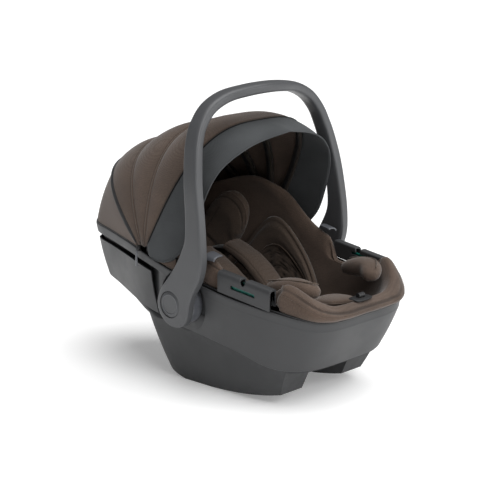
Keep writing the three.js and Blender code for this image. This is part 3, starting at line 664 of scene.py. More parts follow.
def webbing_ribs() -> bpy.types.NodeTree:
    """Ribs that run across a woven strap in a fine herringbone, with painted shade in their hollows and painted
    highlight on their crests.
    """
    maker = GroupMaker("Webbing ribs", {"Place": None, "Ribs": 1500.0}, {"Height": "Float", "Tone": "Float"})
    takes = maker.source.outputs
    scaled = maker.node("ShaderNodeVectorMath", {0: takes["Place"], "Scale": takes["Ribs"]},
                        operation="SCALE")
    parts = maker.node("ShaderNodeSeparateXYZ", {0: scaled.outputs[0]}).outputs
    chevron = maker.node("ShaderNodeMath", {0: parts[0], 1: 12.0}, operation="PINGPONG").outputs[0]
    along = maker.sum_of("ADD", maker.sum_of("ADD", parts[1], parts[2]), chevron)
    wave = maker.node("ShaderNodeMath", {0: along}, operation="SINE").outputs[0]
    maker.give("Height", wave)
    # Painted shade and highlight: colour scale from 0.7 in the rib hollows to 1.25 on the crests.
    maker.give("Tone", ramp_node(maker.tree, wave, -1.0, 1.0, 0.7, 1.25))
    return maker.tree


class Effects:
    """The shared node groups, each built once."""

    made: dict[str, bpy.types.NodeTree] = {}

    @classmethod
    def get(cls, make: Callable[[], bpy.types.NodeTree]) -> bpy.types.NodeTree:
        """Group from its maker, built the first time it is asked for."""
        if make.__name__ not in cls.made:
            cls.made[make.__name__] = make()
        return cls.made[make.__name__]


class Bench:
    """One material on the bench, with its shader and its object coordinates."""

    def __init__(self, name: str, constants: dict[str, object]) -> None:
        """Starts a material.

        Args:
            name: Name of the material.
            constants: Values set on the shader's own sockets.
        """
        self.material = bpy.data.materials.new(name)
        self.material.use_nodes = True
        self.tree = self.material.node_tree
        self.shader = self.tree.nodes["Principled BSDF"]
        for label, value in constants.items():
            self.shader.inputs[label].default_value = value
        self.place = self.tree.nodes.new("ShaderNodeTexCoord").outputs["Object"]

    def effect(self, make: Callable[[], bpy.types.NodeTree], values: dict[object, object]) -> bpy.types.Node:
        """Places a shared effect with its own values."""
        node = self.tree.nodes.new("ShaderNodeGroup")
        node.node_tree = Effects.get(make)
        self.tree.links.new(self.place, node.inputs["Place"])
        for label, value in values.items():
            if isinstance(value, bpy.types.NodeSocket):
                self.tree.links.new(value, node.inputs[label])
            else:
                node.inputs[label].default_value = (*value, 1.0) if isinstance(value, tuple) else value
        return node

    def node(self, kind: str, links: dict[object, object] | None = None,
             **settings: object) -> bpy.types.Node:
        """Adds a plain node."""
        return place_node(self.tree, kind, links or {}, **settings)

    def feed(self, label: str, socket: bpy.types.NodeSocket) -> None:
        """Links a socket to the shader."""
        self.tree.links.new(socket, self.shader.inputs[label])

    def bump(self, height: bpy.types.NodeSocket, strength: float, distance: float) -> None:
        """Feeds the shader's normal from a height."""
        node = self.node("ShaderNodeBump", {"Height": height, "Strength": strength,
                                            "Distance": distance * 0.001})
        self.feed("Normal", node.outputs["Normal"])


@dataclass(frozen=True)
class Cloth:
    """Woven melange cloth, with painted shade along its seams."""

    name: str
    yarn: Colour
    fleck: Colour
    melange: float = 0.6
    threads: float = 2600.0
    relief: float = 0.35
    sheen: float = 0.25

    def material(self) -> bpy.types.Material:
        """Builds the cloth."""
        bench = Bench(self.name, {"Roughness": 0.92, "Sheen Weight": self.sheen, "Sheen Roughness": 0.45,
                                  "Specular IOR Level": 0.25})
        weave = bench.effect(melange_weave, {"Threads": self.threads, "Yarn": self.yarn, "Fleck": self.fleck,
                                             "Melange": self.melange})
        # Painted shade: the colour falls to 0.42 of the weave's where a point lies deepest in a seam.
        seam = bench.node("ShaderNodeAttribute", attribute_name=SEAM, attribute_type="GEOMETRY")
        shade = ramp_node(bench.tree, seam.outputs["Fac"], 0.0, 1.0, 1.0, 0.42)
        colour = bench.node("ShaderNodeVectorMath", {0: weave.outputs["Colour"], "Scale": shade},
                            operation="SCALE")
        bench.feed("Base Color", colour.outputs[0])
        bench.bump(weave.outputs["Height"], self.relief, 0.35)
        return bench.material


@dataclass(frozen=True)
class Moulded:
    """Moulded plastic with a fine grain and rubbed edges."""

    name: str
    base: Colour
    rubbed: Colour
    roughness: float = 0.5
    wear: float = 0.35
    relief: float = 0.18
    coat: float = 0.0

    def material(self) -> bpy.types.Material:
        """Builds the plastic."""
        bench = Bench(self.name, {"Specular IOR Level": 0.45, "Coat Weight": self.coat,
                                  "Coat Roughness": 0.3})
        edges = bench.effect(worn_edges, {"Base": self.base, "Rubbed": self.rubbed, "Amount": self.wear})
        grain = bench.effect(moulded_grain, {})
        bench.feed("Base Color", edges.outputs["Colour"])
        gloss = bench.node("ShaderNodeMath", {0: grain.outputs["Gloss"], 1: self.roughness}, operation="ADD")
        bench.feed("Roughness", gloss.outputs[0])
        bench.bump(grain.outputs["Height"], self.relief, 0.12)
        return bench.material


@dataclass(frozen=True)
class Metal:
    """Drawn or plated steel."""

    name: str
    base: Colour
    roughness: float = 0.32

    def material(self) -> bpy.types.Material:
        """Builds the metal."""
        bench = Bench(self.name, {"Metallic": 1.0})
        edges = bench.effect(worn_edges, {"Base": self.base, "Rubbed": (0.75, 0.75, 0.76), "Amount": 0.5})
        grain = bench.effect(moulded_grain, {"Cells": 700.0})
        bench.feed("Base Color", edges.outputs["Colour"])
        gloss = bench.node("ShaderNodeMath", {0: grain.outputs["Gloss"], 1: self.roughness}, operation="ADD")
        bench.feed("Roughness", gloss.outputs[0])
        bench.bump(grain.outputs["Height"], 0.08, 0.05)
        return bench.material


@dataclass(frozen=True)
class Webbing:
    """Harness strap woven in a herringbone, with painted shade and highlight across its ribs."""

    name: str
    base: Colour

    def material(self) -> bpy.types.Material:
        """Builds the strap's weave."""
        bench = Bench(self.name, {"Roughness": 0.62, "Sheen Weight": 0.15, "Sheen Roughness": 0.4})
        ribs = bench.effect(webbing_ribs, {})
        weave = bench.effect(melange_weave, {"Yarn": self.base, "Fleck": self.base, "Melange": 0.2})
        # Painted shade and highlight from the ribs scale the weave's colour.
        colour = bench.node("ShaderNodeVectorMath",
                            {0: weave.outputs["Colour"], "Scale": ribs.outputs["Tone"]}, operation="SCALE")
        bench.feed("Base Color", colour.outputs[0])
        bench.bump(ribs.outputs["Height"], 0.5, 0.3)
        return bench.material


@dataclass(frozen=True)
class Bead:
    """Moulded bead foam, charcoal."""

    name: str
    base: Colour

    def material(self) -> bpy.types.Material:
        """Builds the foam."""
        bench = Bench(self.name, {"Roughness": 0.85})
        edges = bench.effect(worn_edges, {"Base": self.base, "Rubbed": self.base, "Amount": 0.0})
        cells = bench.node("ShaderNodeTexVoronoi", {"Vector": bench.place, "Scale": 280.0})
        bench.feed("Base Color", edges.outputs["Colour"])
        bench.bump(cells.outputs["Distance"], 0.4, 0.4)
        return bench.material


class Finish(Enum):
    """Every finish of the seat, with the material slot that it belongs to."""

    SHELL = ("shell_plastic", Moulded("Shell grey", (0.036, 0.037, 0.039), (0.075, 0.075, 0.08), 0.48, 0.2))
    HANDLE = ("shell_plastic", Moulded("Handle grey", (0.064, 0.066, 0.070), (0.13, 0.13, 0.14), 0.42,
                                       coat=0.08))
    TUB = ("tub_plastic", Moulded("Tub charcoal", (0.027, 0.028, 0.0295), (0.06, 0.06, 0.064), 0.6, 0.2,
                                  0.3))
    BLACK = ("black_plastic", Moulded("Black plastic", (0.012, 0.012, 0.013), (0.05, 0.05, 0.05), 0.45))
    LIGHT = ("light_plastic", Moulded("Light grey plastic", (0.085, 0.089, 0.10), (0.2, 0.21, 0.23), 0.38,
                                      coat=0.15))
    TEAL = ("teal_plastic", Moulded("Teal plastic", (0.0, 0.115, 0.088), (0.02, 0.25, 0.2), 0.38))
    BROWN = ("brown_fabric", Cloth("Brown melange", (0.100, 0.069, 0.052), (0.052, 0.038, 0.031)))
    DARK = ("dark_fabric", Cloth("Dark brown cloth", (0.092, 0.066, 0.050), (0.046, 0.034, 0.027)))
    # Painted shade: the canopy's inner side gets a yarn about a third as bright as the brown outside.
    LINING = ("dark_fabric", Cloth("Canopy lining", (0.03, 0.024, 0.019), (0.018, 0.015, 0.012), sheen=0.1))
    VISOR = ("grey_fabric", Cloth("Visor grey", (0.060, 0.064, 0.067), (0.048, 0.051, 0.054), 0.35, 3600.0,
                                  0.12, 0.05))
    # Painted shade: the visor grey again at about a fifteenth of its brightness, for the visor's inner side.
    VISOR_INSIDE = ("grey_fabric", Cloth("Visor inside", (0.004, 0.0045, 0.0045), (0.003, 0.0035, 0.0035),
                                         0.3,
                                         3600.0, 0.12, 0.05))
    ZIP = ("webbing", Webbing("Zip tape", (0.010, 0.010, 0.011)))
    STRAP = ("webbing", Webbing("Harness webbing", (0.016, 0.016, 0.018)))
    FOAM = ("foam", Bead("Bead foam", (0.03, 0.03, 0.03)))
    STEEL = ("steel", Metal("Plated steel", (0.42, 0.42, 0.43)))

    @property
    def slot(self) -> str:
        """Material slot of the finish."""
        return self.value[0]

    def material(self) -> bpy.types.Material:
        """The finish's material, built once."""
        look = self.value[1]
        return bpy.data.materials.get(look.name) or look.material()


def dress(piece: bpy.types.Object, finish: Finish, body: str, *stands_for: str,
          lining: Finish | None = None, rides: bool = True) -> bpy.types.Object:
    """Gives a piece its finish and its body.

    Args:
        piece: The finished mesh.
        finish: Its outer finish.
        body: Body that it moves with.
        stands_for: Nodes that it replaces.
        lining: Finish of its second side.
        rides: False where the piece is left without a body.

    Returns:
        The same piece.
    """
    piece.data.materials.clear()
    piece.data.materials.append(finish.material())
    if lining:
        piece.data.materials.append(lining.material())
    if rides:
        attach(piece, body)
    if stands_for:
        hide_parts(*stands_for)
    log.info("%s: %d faces in %s on %s", piece.name, len(piece.data.polygons), finish.name.lower(), body)
    return piece


def redress(node: str, finish: Finish) -> None:
    """Gives a carried-over node a better finish."""
    piece = bpy.data.objects[node]
    if not piece.material_slots:
        piece.data.materials.append(finish.material())
    for slot in piece.material_slots:
        slot.link = "OBJECT"
        slot.material = finish.material()
    log.info("%s: kept, in %s", node, finish.name.lower())


# ---- studio ------------------------------------------------------------------------------


@dataclass(frozen=True)
class Studio:
    """Pale floor, soft lights and the camera."""

    lens: float = 108.0
    sensor: float = 36.0
    azimuth: float = -47.0
    elevation: float = 13.6218
    eye: tuple[float, float, float] = (-2.15571679, -2.04517642, 0.96972306)

    def build(self) -> None:
        """Makes the whole studio."""
        self.camera()
        self.floor()
        self.lights()
        self.surround()
        view = bpy.context.scene.view_settings
        view.view_transform = "Standard"
        view.look = "None"

    def camera(self) -> None:
        """Looks at the seat from the front left, a little above it."""
        lens = bpy.data.cameras.new("camera")
        lens.lens = self.lens
        lens.sensor_width = self.sensor
        lens.sensor_fit = "HORIZONTAL"
        lens.clip_end = 50
        camera = bpy.data.objects.new("camera", lens)
        a, e = math.radians(self.azimuth), math.radians(self.elevation)
        back = Vector((math.sin(a) * math.cos(e), -math.cos(a) * math.cos(e), math.sin(e)))
        right = Vector((math.cos(a), math.sin(a), 0))
        up = back.cross(right)
        turn = Matrix((right, up, back)).transposed().to_4x4()
        camera.matrix_world = Matrix.Translation(self.eye) @ turn
        bpy.context.scene.collection.objects.link(camera)
        bpy.context.scene.camera = camera

    def floor(self) -> None:
        """Wide pale sweep under the seat."""
        half = 9000.0
        rows = [[Vector((mix(-half, half, i / 8), mix(-half, half, j / 8), -0.4)) for i in range(9)]
                for j in range(9)]
        sheet = skin("studio_floor", rows)
        bench = Bench("Studio floor", {"Roughness": 0.9, "Specular IOR Level": 0.0,
                                       "Emission Strength": 0.24,
                                       "Emission Color": (1, 1, 1, 1)})
        paper = bench.node("ShaderNodeTexNoise", {"Vector": bench.place, "Scale": 3.0})
        tone = ramp_node(bench.tree, paper.outputs["Fac"], 0.2, 0.8, 0.91, 0.93)
        colour = bench.node("ShaderNodeCombineColor", {"Red": tone, "Green": tone, "Blue": tone})
        bench.feed("Base Color", colour.outputs[0])
        sheet.data.materials.append(bench.material)

    def lights(self) -> None:
        """A wide overhead sky, a box towards the feet and one high at the front."""
        sky = bpy.data.lights.new("light_sky", "SUN")
        sky.energy = 2.7
        sky.angle = math.radians(62)
        lamp = bpy.data.objects.new("light_sky", sky)
        lamp.rotation_euler = Vector((-0.12, 0.22, -1)).to_track_quat("-Z", "Y").to_euler()
        bpy.context.scene.collection.objects.link(lamp)
        self.box("light_feet", (1.9, -2.9, 1.3), (0.0, -0.1, 0.25), 1.4, 26.0)
        self.box("light_front", (-0.9, -2.7, 2.3), (0.0, -0.1, 0.3), 1.2, 34.0)

    def box(self, name: str, place: Sequence[float], aim: Sequence[float], size: float,
            watts: float) -> None:
        """One square soft box."""
        light = bpy.data.lights.new(name, "AREA")
        light.shape = "SQUARE"
        light.size = size
        light.energy = watts
        lamp = bpy.data.objects.new(name, light)
        lamp.location = place
        lamp.rotation_euler = (Vector(aim) - Vector(place)).to_track_quat("-Z", "Y").to_euler()
        bpy.context.scene.collection.objects.link(lamp)

    def surround(self) -> None:
        """White room: bright where it is seen, softer where it lights."""
        world = bpy.data.worlds.new("room")
        bpy.context.scene.world = world
        world.use_nodes = True
        tree = world.node_tree
        back = tree.nodes["Background"]
        path = tree.nodes.new("ShaderNodeLightPath").outputs["Is Camera Ray"]
        strength = place_node(tree, "ShaderNodeMapRange", {"Value": path, "To Min": 0.20, "To Max": 1.0})
        tree.links.new(strength.outputs["Result"], back.inputs["Strength"])
        back.inputs["Color"].default_value = (1, 1, 1, 1)


# ---- outlines that the pieces share ---------------------------------------------------------

RIM_HEIGHT = ((-336, 181), (-264, 200), (-143, 215), (0, 240), (100, 268), (160, 275), (350, 277))
BAND_HEIGHT = ((-292, 78), (-230, 84), (-163, 104), (-66, 120), (0, 128), (60, 138), (150, 150), (318, 170))
TUB_TOP_HEIGHT = ((-292, 78), (-230, 84), (-163, 104), (-66, 120), (0, 128), (60, 131), (150, 132))
CREST_HEIGHT = ((-345, 199), (-325, 208), (-300, 227), (-270, 246), (-170, 254), (-97, 272), (-50, 297),
                (0, 340), (50, 366), (100, 372), (180, 350), (260, 318), (325, 292))
INSERT_HEIGHT = ((-140, 104), (-116, 150), (-102, 190), (-87, 232), (-30, 278), (15, 304), (60, 332))
HUB = Vector((0, -27.3, 184.3))


def rim_height(y: float) -> float:
    """Height of the shell's rim."""
    return height_at(RIM_HEIGHT, y)


def band_height(y: float) -> float:
    """Height of the upper shell's lower edge."""
    return height_at(BAND_HEIGHT, y)


def crest_height(x: float, y: float) -> float:
    """Height of the cover's crest, a little higher at the front corners than between them."""
    return height_at(CREST_HEIGHT, y) + 10 * ease(70, 150, abs(x)) * ease(215, 300, -y)


def lip_drop(y: float) -> float:
    """Height of the underside of the rim's lip."""
    return rim_height(y) - mix(16, 20, ease(40, 120, y))


def plan_point(angle: float, half_width: float, front: float, rear: float,
               front_power: float = 4.5) -> tuple[float, float]:
    """Point of a plan outline, square-shouldered and tapered towards the head.

    Args:
        angle: Angle round the seat, from the right side through the head end.
        half_width: Half the outline's width.
        front: Reach towards the feet.
        rear: Reach towards the head.
        front_power: Squareness of the front end.

    Returns:
        The point's x and y.
    """
    side, along = math.cos(angle), math.sin(angle)
    exponent = 2 / (4 if along > 0 else front_power)
    y = (rear if along > 0 else front) * power(along, exponent)
    taper = 1 - 0.28 * ease(60, 300, y * (350 / max(rear, 300)))
    return half_width * power(side, exponent) * taper, y


def ring_angles(count: int) -> list[float]:
    """Angles of the points round one ring."""
    return [eased_angle(4 * i / count) for i in range(count)]


def level(half_width: float, front: float, rear: float, height_of: Callable[[float], float],
          front_power: float = 4.5, count: int = 144) -> list[Vector]:
    """Plan outline lifted to a height that depends on y."""
    out = []
    for angle in ring_angles(count):
        x, y = plan_point(angle, half_width, front, rear, front_power)
        out.append(Vector((x, y, height_of(y))))
    return out


def stepped_in(outline: Sequence[Vector], most: float) -> list[Vector]:
    """Steps an outline in behind the lip, where the rear cover stands off."""
    out = []
    for p in outline:
        depth = most * ease(46, 62, p.y)
        out.append(Vector((p.x * (1 - depth / 187), p.y * (1 - depth / 350), p.z)))
    return out


def between(low: Sequence[Vector], high: Sequence[Vector], share: float, bulge: float = 0.0) -> list[Vector]:
    """Ring between two others, pushed outwards in plan by a bulge."""
    out = []
    for a, b in zip(low, high):
        p = a.lerp(b, share)
        out.append(p + Vector((p.x / 187, p.y / 350, 0)).normalized() * bulge * math.sin(math.pi * share))
    return out


# ---- shell -------------------------------------------------------------------------------


@dataclass(frozen=True)
class Shell:
    """Grey outer shell with its lip, hub pockets, belt channel and rear cover."""

    wall: float = 4.0
    recess: float = 16.0
    pocket_radius: float = 61.0

    def build(self) -> None:
        """Builds every outer piece."""
        self.upper()
        self.rear_cover()
        self.belt_channel()
        for side in Side:
            self.hub_pocket(side)
            self.hub_base(side)
            self.belt_guide(side)
        for node in ("guide_insert_right", "guide_insert_left"):
            redress(node, Finish.TEAL)
        for node in ("canopy_bracket_right", "canopy_bracket_left"):
            redress(node, Finish.BLACK)
        for node in ("handle_axle_right", "handle_axle_left", "canopy_pin_right", "canopy_pin_left"):
            redress(node, Finish.STEEL)
        redress("foam_liner", Finish.FOAM)

    def belt_guide(self, side: Side) -> None:
        """Saddle over the rim that the car's belt lies in, notched across and slotted inside."""
        s = side.value
        outline = [(183.5, 221), (183.5, 240), (183.5, 252), (182.4, 258), (179, 261.3), (174, 262),
                   (168, 262),
                   (165, 261.4), (163.5, 259.6), (163.5, 245), (163.5, 228), (166.7, 228), (166.7, 245),
                   (166.7, 258.4), (172, 258.8), (177, 258), (179.6, 255.4),
                   (180.3, 250), (180.3, 238), (180.3, 221)]
        rows: Rows = []
        for k in range(25):
            y = mix(-121, -250, k / 24)
            ahead = -121 - y
            rows.append([Vector((s * (x - 0.03 * ahead), y, z - 0.13 * ahead)) for x, z in outline])
        guide = skin(f"guide_saddle_{side.tag}", rows, round_rows=True, capped=True)
        low, high = sorted((s * 150.0, s * 200.0))
        notch = [(-177 + 4, 290), (-177, 250), (-178, 244), (-181, 241), (-186, 241), (-189, 244),
                 (-190, 250),
                 (-190 - 4, 290)]
        carved(guide, prism_tool("notch_tool", notch, low, high))
        slot = [(-154, 231.5), (-154, 238.5), (-214, 231.0), (-214, 224.0)]
        carved(guide, prism_tool("slot_tool", slot, *sorted((s * 170.0, s * 200.0))))
        inner = [(-166, 240.5), (-166, 246.0), (-212, 240.0), (-212, 234.5)]
        carved(guide, prism_tool("inner_slot_tool", inner, *sorted((s * 150.0, s * 165.4))))
        eased_edges(guide, 0.7, 3, 36)
        dress(guide, Finish.SHELL, "root", f"belt_guide_{side.tag}")
        strip = prism_tool(f"guide_strip_{side.tag}", inner, *sorted((s * 165.0, s * 166.0)))
        dress(facing(strip, Vector((0, -190, 240))), Finish.TEAL, "root")

    def side_wall(self, inset: float) -> Rows:
        """Rings of the wall from the rim down to the lower edge."""
        lift = max(inset, 0.0)
        rim = level(187 - inset, 336 - inset, 350 - inset, rim_height)
        lip = level(185 - inset, 333 - inset, 345 - inset, lambda y: lip_drop(y) + lift)
        under = [p - Vector((0, 0, 3)) for p in stepped_in(lip, self.recess)]
        band = stepped_in(level(172 - inset, 292 - inset, 318 - inset, band_height, 4.2), self.recess - 4)
        if inset:
            return [rim, lip, under, *[between(under, band, k / 4) for k in (1, 2, 3)], band]
        rows = [between(rim, lip, 0.07), between(rim, lip, 0.5), between(rim, lip, 0.93), lip,
                between(lip, under, 0.5), under, between(under, band, 0.02)]
        rows += [between(under, band, k / 12, 2.2) for k in range(1, 12)]
        return rows + [between(under, band, 0.975, 2.2), between(under, band, 0.993, 1.0)]

    def upper(self) -> None:
        """Closed wall of the upper shell, with a pocket for each hub."""
        outside = self.side_wall(0)
        inside = self.side_wall(self.wall)
        inside.reverse()
        edge_out = level(185.6, 334.6, 348.6, rim_height)
        edge_in = level(184.4, 333.4, 347.4, rim_height)
        under_edge = level(170.6, 290.6, 168, lambda y: height_at(TUB_TOP_HEIGHT, y) + 0.02, 4.2)
        seat_out = level(169, 289, 150, lambda y: height_at(TUB_TOP_HEIGHT, y), 4.2)
        seat_in = level(165, 285, 146, lambda y: height_at(TUB_TOP_HEIGHT, y) + 4 * ease(0, 60, y), 4.2)
        shell = skin("shell_body", [edge_out, *outside, under_edge, seat_out, seat_in, *inside, edge_in],
                     round_rows=True, looped=True)
        subdivided(shell)
        for side in Side:
            s = side.value
            low, high = sorted((s * 174.0, s * 230.0))
            carved(shell, disc_tool("pocket_tool", self.pocket_radius, low, high, HUB.y, HUB.z, 96))
        shell.data.set_sharp_from_angle(angle=math.radians(40))
        dress(shell, Finish.SHELL, "root", "upper_shell")

    def hub_pocket(self, side: Side) -> None:
        """Dished lining of the pocket that the handle's hub turns in."""
        s = side.value
        rows: Rows = []
        for radius, x in ((60.8, 190.0), (60.6, 176.0), (58.8, 173.4), (54, 172.6), (8.2, 172.6),
                          (8.2, 171.0),
                          (54, 171.0), (62.2, 172.6), (62.4, 190.0)):
            ring = []
            for i in range(96):
                angle = 2 * math.pi * i / 96
                y = HUB.y + radius * math.cos(angle)
                z = HUB.z + radius * math.sin(angle)
                face = self.face_x(y, z) - 1.2
                ring.append(Vector((s * min(x, face), y, z)))
            rows.append(ring)
        dish = skin(f"hub_pocket_{side.tag}", rows, round_rows=True, looped=True)
        dish.data.set_sharp_from_angle(angle=math.radians(40))
        dress(dish, Finish.TUB, "root")

    def face_x(self, y: float, z: float) -> float:
        """How far out the shell's side is at a point."""
        high, low = lip_drop(y) - 3, band_height(y)
        return mix(172, 185, min(max((z - low) / (high - low), 0), 1.3))

    def hub_base(self, side: Side) -> None:
        """Lavender-grey seat of the hub, seen behind the handle."""
        profile = ((8.4, 172.8), (43.0, 172.8), (44.0, 173.8), (44.0, 196.2), (43.0, 197.3), (39.5, 197.4),
                   (39.0, 196.6), (8.4, 196.6))
        base = lathed(f"hub_seat_{side.tag}", profile, HUB, side.value, looped=True)
        base.data.set_sharp_from_angle(angle=math.radians(35))
        dress(base, Finish.LIGHT, "root", f"hub_base_{side.tag}")

    def rear_cover(self) -> None:
        """Cover round the head end, with a soft crease at each rear corner."""
        columns, start = 120, 0.088
        rows: Rows = []
        for k in range(13):
            down = k / 12
            row = []
            for i in range(columns + 1):
                angle = eased_angle(mix(start, 2 - start, i / columns))
                x, y = plan_point(angle, mix(184, 167, down), 336, mix(338, 318, down))
                crease = 1.6 * math.exp(-((abs(x) - 96) / 9) ** 2) if y > 200 else 0.0
                out = Vector((x / 187, y / 350, 0)).normalized()
                p = Vector((x, y, mix(lip_drop(y) - 12, band_height(y) + 1, down)))
                row.append(p + out * (1.8 * math.sin(math.pi * down) + crease))
            rows.append(row)
        cover = facing(skin("rear_panel", rows), Vector((0, 100, 220)))
        thickened(cover, 3.2)
        eased_edges(cover, 1.0, 2, 50)
        dress(cover, Finish.SHELL, "root", "rear_cover")

    def belt_channel(self) -> None:
        """Black lining behind the gap under the lip."""
        columns, start = 110, 0.105
        rows: Rows = []
        for k in range(7):
            down = k / 6
            row = []
            for i in range(columns + 1):
                angle = eased_angle(mix(start, 2 - start, i / columns))
                x, y = plan_point(angle, 185, 336, 345)
                row.append(Vector((x, y, lip_drop(y) - 4.4 - 15 * down)))
            rows.append(stepped_in(row, self.recess - 2.6))
        lining = facing(skin("channel_lining", rows), Vector((0, 100, 250)))
        thickened(lining, 1.4)
        dress(lining, Finish.BLACK, "root", "belt_channel")


@dataclass(frozen=True)
class Tub:
    """Charcoal tub with two rocker skids and an open channel between them."""

    wall: float = 4.0
    skid_gap: float = 60.0

    def build(self) -> None:
        """Builds the tub and dresses its lock bars."""
        outside = self.blank(0.0)
        carved(outside, self.channel(0.0, self.skid_gap))
        inside = self.blank(self.wall)
        carved(inside, self.channel(self.wall, self.skid_gap + self.wall))
        carved(outside, inside)
        eased_edges(outside, 2.2, 3, 38)
        dress(outside, Finish.TUB, "root", "lower_tub")
        for node in ("base_lock_bar_front", "base_lock_bar_rear"):
            redress(node, Finish.STEEL)

    def blank(self, inset: float) -> bpy.types.Object:
        """Tub before the channel is cut, closed all round."""
        top = level(169 - inset, 289 - inset, 150 - inset,
                    lambda y: height_at(TUB_TOP_HEIGHT, y) - 0.4 + inset * 8, 4.2)
        low = level(127 - inset, 283 - inset, 92 - inset, lambda y: -2.0, 3.5)
        rows = [between(low, top, k / 10, 3.0) for k in range(11)]
        tub = skin("tub_body" if not inset else "tub_hollow", rows, round_rows=True, capped=True)
        floor = [(-400, 78), (-253, 29), (-150, 8), (-50, 0), (26, 0), (80, 15.6), (110, 82), (152, 140)]
        round_floor = curve_through([Vector((0, y, z)) for y, z in floor[:5]], 8)
        outline = [(p.y, max(p.z, 0.0) + inset) for p in round_floor]
        outline += [(y, z + inset) for y, z in floor[5:]]
        outline += [(400, 140 + inset), (400, 400), (-400, 400)]
        carved(tub, prism_tool("rocker_tool", outline, -300, 300), "INTERSECT")
        back = 1.15 * inset
        ahead = [(-500, -60), (-189.4 + back, -60), (-254.2 + back, 76 + inset), (-500, 76 + inset)]
        return carved(tub, prism_tool("skid_tool", ahead, -300, 300))

    def channel(self, lift: float, half: float) -> bpy.types.Object:
        """Space between the skids."""
        outline = [(-400, -50), (-400, 76 + lift), (-290, 70 + lift), (-150, 42 + lift), (-60, 32 + lift),
                   (50 + lift, 28 + lift), (62 + lift, -50)]
        return prism_tool("channel_tool", outline, -half, half)


# ---- handle ------------------------------------------------------------------------------


@dataclass(frozen=True)
class Handle:
    """Carrying handle: two flat legs with round hubs and a rounded grip over the top."""

    thickness: float = 22.0
    button_radius: float = 26.0
    stations: tuple[tuple[float, float, float, float], ...] = (
        (209, -38.5, 141.6, 10), (209, -38, 143, 30), (209, -36, 150, 56), (209, -33, 166, 78),
        (209, -33, 186, 86), (209, -43, 212, 86), (209, -65, 244, 78), (209, -82, 280, 60),
                                                               (209, -89, 318, 43),
        (207, -86, 366, 37), (203, -78, 420, 35), (193, -69, 472, 35), (184, -63.5, 502, 35),
        (170, -60, 531, 35), (142, -58, 560, 36), (99.5, -60, 579, 38), (50, -68, 587, 39),
                                                               (0, -72, 589.5, 40))

    def build(self) -> None:
        """Builds the bow and both hubs."""
        self.bow()
        for side in Side:
            self.button(side)
            self.hub_trim(side)
            redress(f"button_spring_{side.tag}", Finish.STEEL)

    def bow(self) -> None:
        """Grip and legs as one smooth solid, pocketed for the buttons."""
        half = [Vector((x, y, z)) for x, y, z, _ in self.stations]
        widths = [Vector((depth, 0, 0)) for *_, depth in self.stations]
        centres = half + [Vector((-p.x, p.y, p.z)) for p in reversed(half[:-1])]
        depths = widths + list(reversed(widths[:-1]))
        centres, depths = curve_through(centres, 6), curve_through(depths, 6)
        rows: Rows = []
        for index, (centre, depth) in enumerate(zip(centres, depths)):
            tangent = tangent_at(centres, index)
            low = 1 - ease(250, 330, centre.z)
            fore = (Vector((0, 1, 0)) - tangent * tangent.y * (1 - low)).normalized()
            out = fore.cross(tangent)
            out = out.lerp(Vector((math.copysign(1, tangent.z), 0, 0)), low).normalized()
            flat = mix(0.62, 0.34, 1 - ease(430, 560, centre.z))
            row = []
            for i in range(40):
                u, v = soft_box(2 * math.pi * i / 40, flat)
                groove = 0.9 * math.exp(-((i - 16) / 0.8) ** 2) * low + 0.9 * math.exp(-((i - 24) / 0.8) ** 2) * low
                reach = depth.x / 2 - groove
                row.append(centre + fore * u * reach + out * v * (self.thickness / 2 - groove))
            rows.append(row)
        bow = skin("handle_grip", rows, round_rows=True, capped=True)
        subdivided(bow)
        for side in Side:
            s = side.value
            for radius, low_x, high_x in ((self.button_radius + 0.7, 211.8, 240.0), (12.0, 208.4, 212.4),
                                          (8.4, 190.0, 206.8)):
                a, b = sorted((s * low_x, s * high_x))
                carved(bow, disc_tool("bore_tool", radius, a, b, HUB.y, HUB.z, 96))
        bow.data.set_sharp_from_angle(angle=math.radians(42))
        dress(bow, Finish.HANDLE, "handle", "handle_bow")

    def button(self, side: Side) -> None:
        """Round release button with a fine raised ring."""
        s = side.value
        profile = ((0.0, 219.0), (17.0, 219.2), (18.6, 219.3), (19.0, 219.9), (20.2, 219.9), (20.6, 219.3),
                   (24.6, 219.1), (25.7, 218.3), (26.0, 217.2), (26.0, 216.6), (0.0, 216.6))
        disc = lathed(f"release_button_{side.tag}", profile, HUB, s)
        dress(disc, Finish.HANDLE, f"handle_button_{side.tag}", f"handle_button_{side.tag}")
        inlay = lathed(f"button_ring_{side.tag}", ((19.1, 219.8), (19.2, 220.2), (20.0, 220.2),
                                                   (20.1, 219.8)),
                       HUB, s, looped=True)
        dress(inlay, Finish.LIGHT, f"handle_button_{side.tag}")

    def hub_trim(self, side: Side) -> None:
        """Dark ring round the button, painted shade standing in for the gap along its parting line."""
        # Painted shade: a black ring fills the gap between button and handle.
        sleeve = lathed(f"button_sleeve_{side.tag}",
                        ((26.1, 213.0), (26.1, 218.0), (27.3, 219.2), (27.3, 213.0)), HUB, side.value,
                        looped=True)
        dress(sleeve, Finish.BLACK, "handle")


# ---- canopy ------------------------------------------------------------------------------

CANOPY_HINGE = Vector((0, 81, 258.4))


@dataclass(frozen=True)
class Bow:
    """One folding bow of the canopy: its angle, reach, half-width and how square its arch is."""

    name: str
    angle: float
    radius: float
    half_width: float
    squareness: float


BOWS = (Bow("zip", 49.6, 228.5, 168.2, 3.6), Bow("rear", 73.4, 226.5, 171.5, 3.5),
        Bow("middle", 97.0, 255.5, 174.8, 3.1), Bow("front", 119.2, 306.0, 177.7, 3.2))


def around_hinge(x: float, reach: float, degrees: float) -> Vector:
    """Point at a reach and angle about the canopy's hinge."""
    a = math.radians(degrees)
    return Vector((x, CANOPY_HINGE.y + reach * math.cos(a), CANOPY_HINGE.z + reach * math.sin(a)))


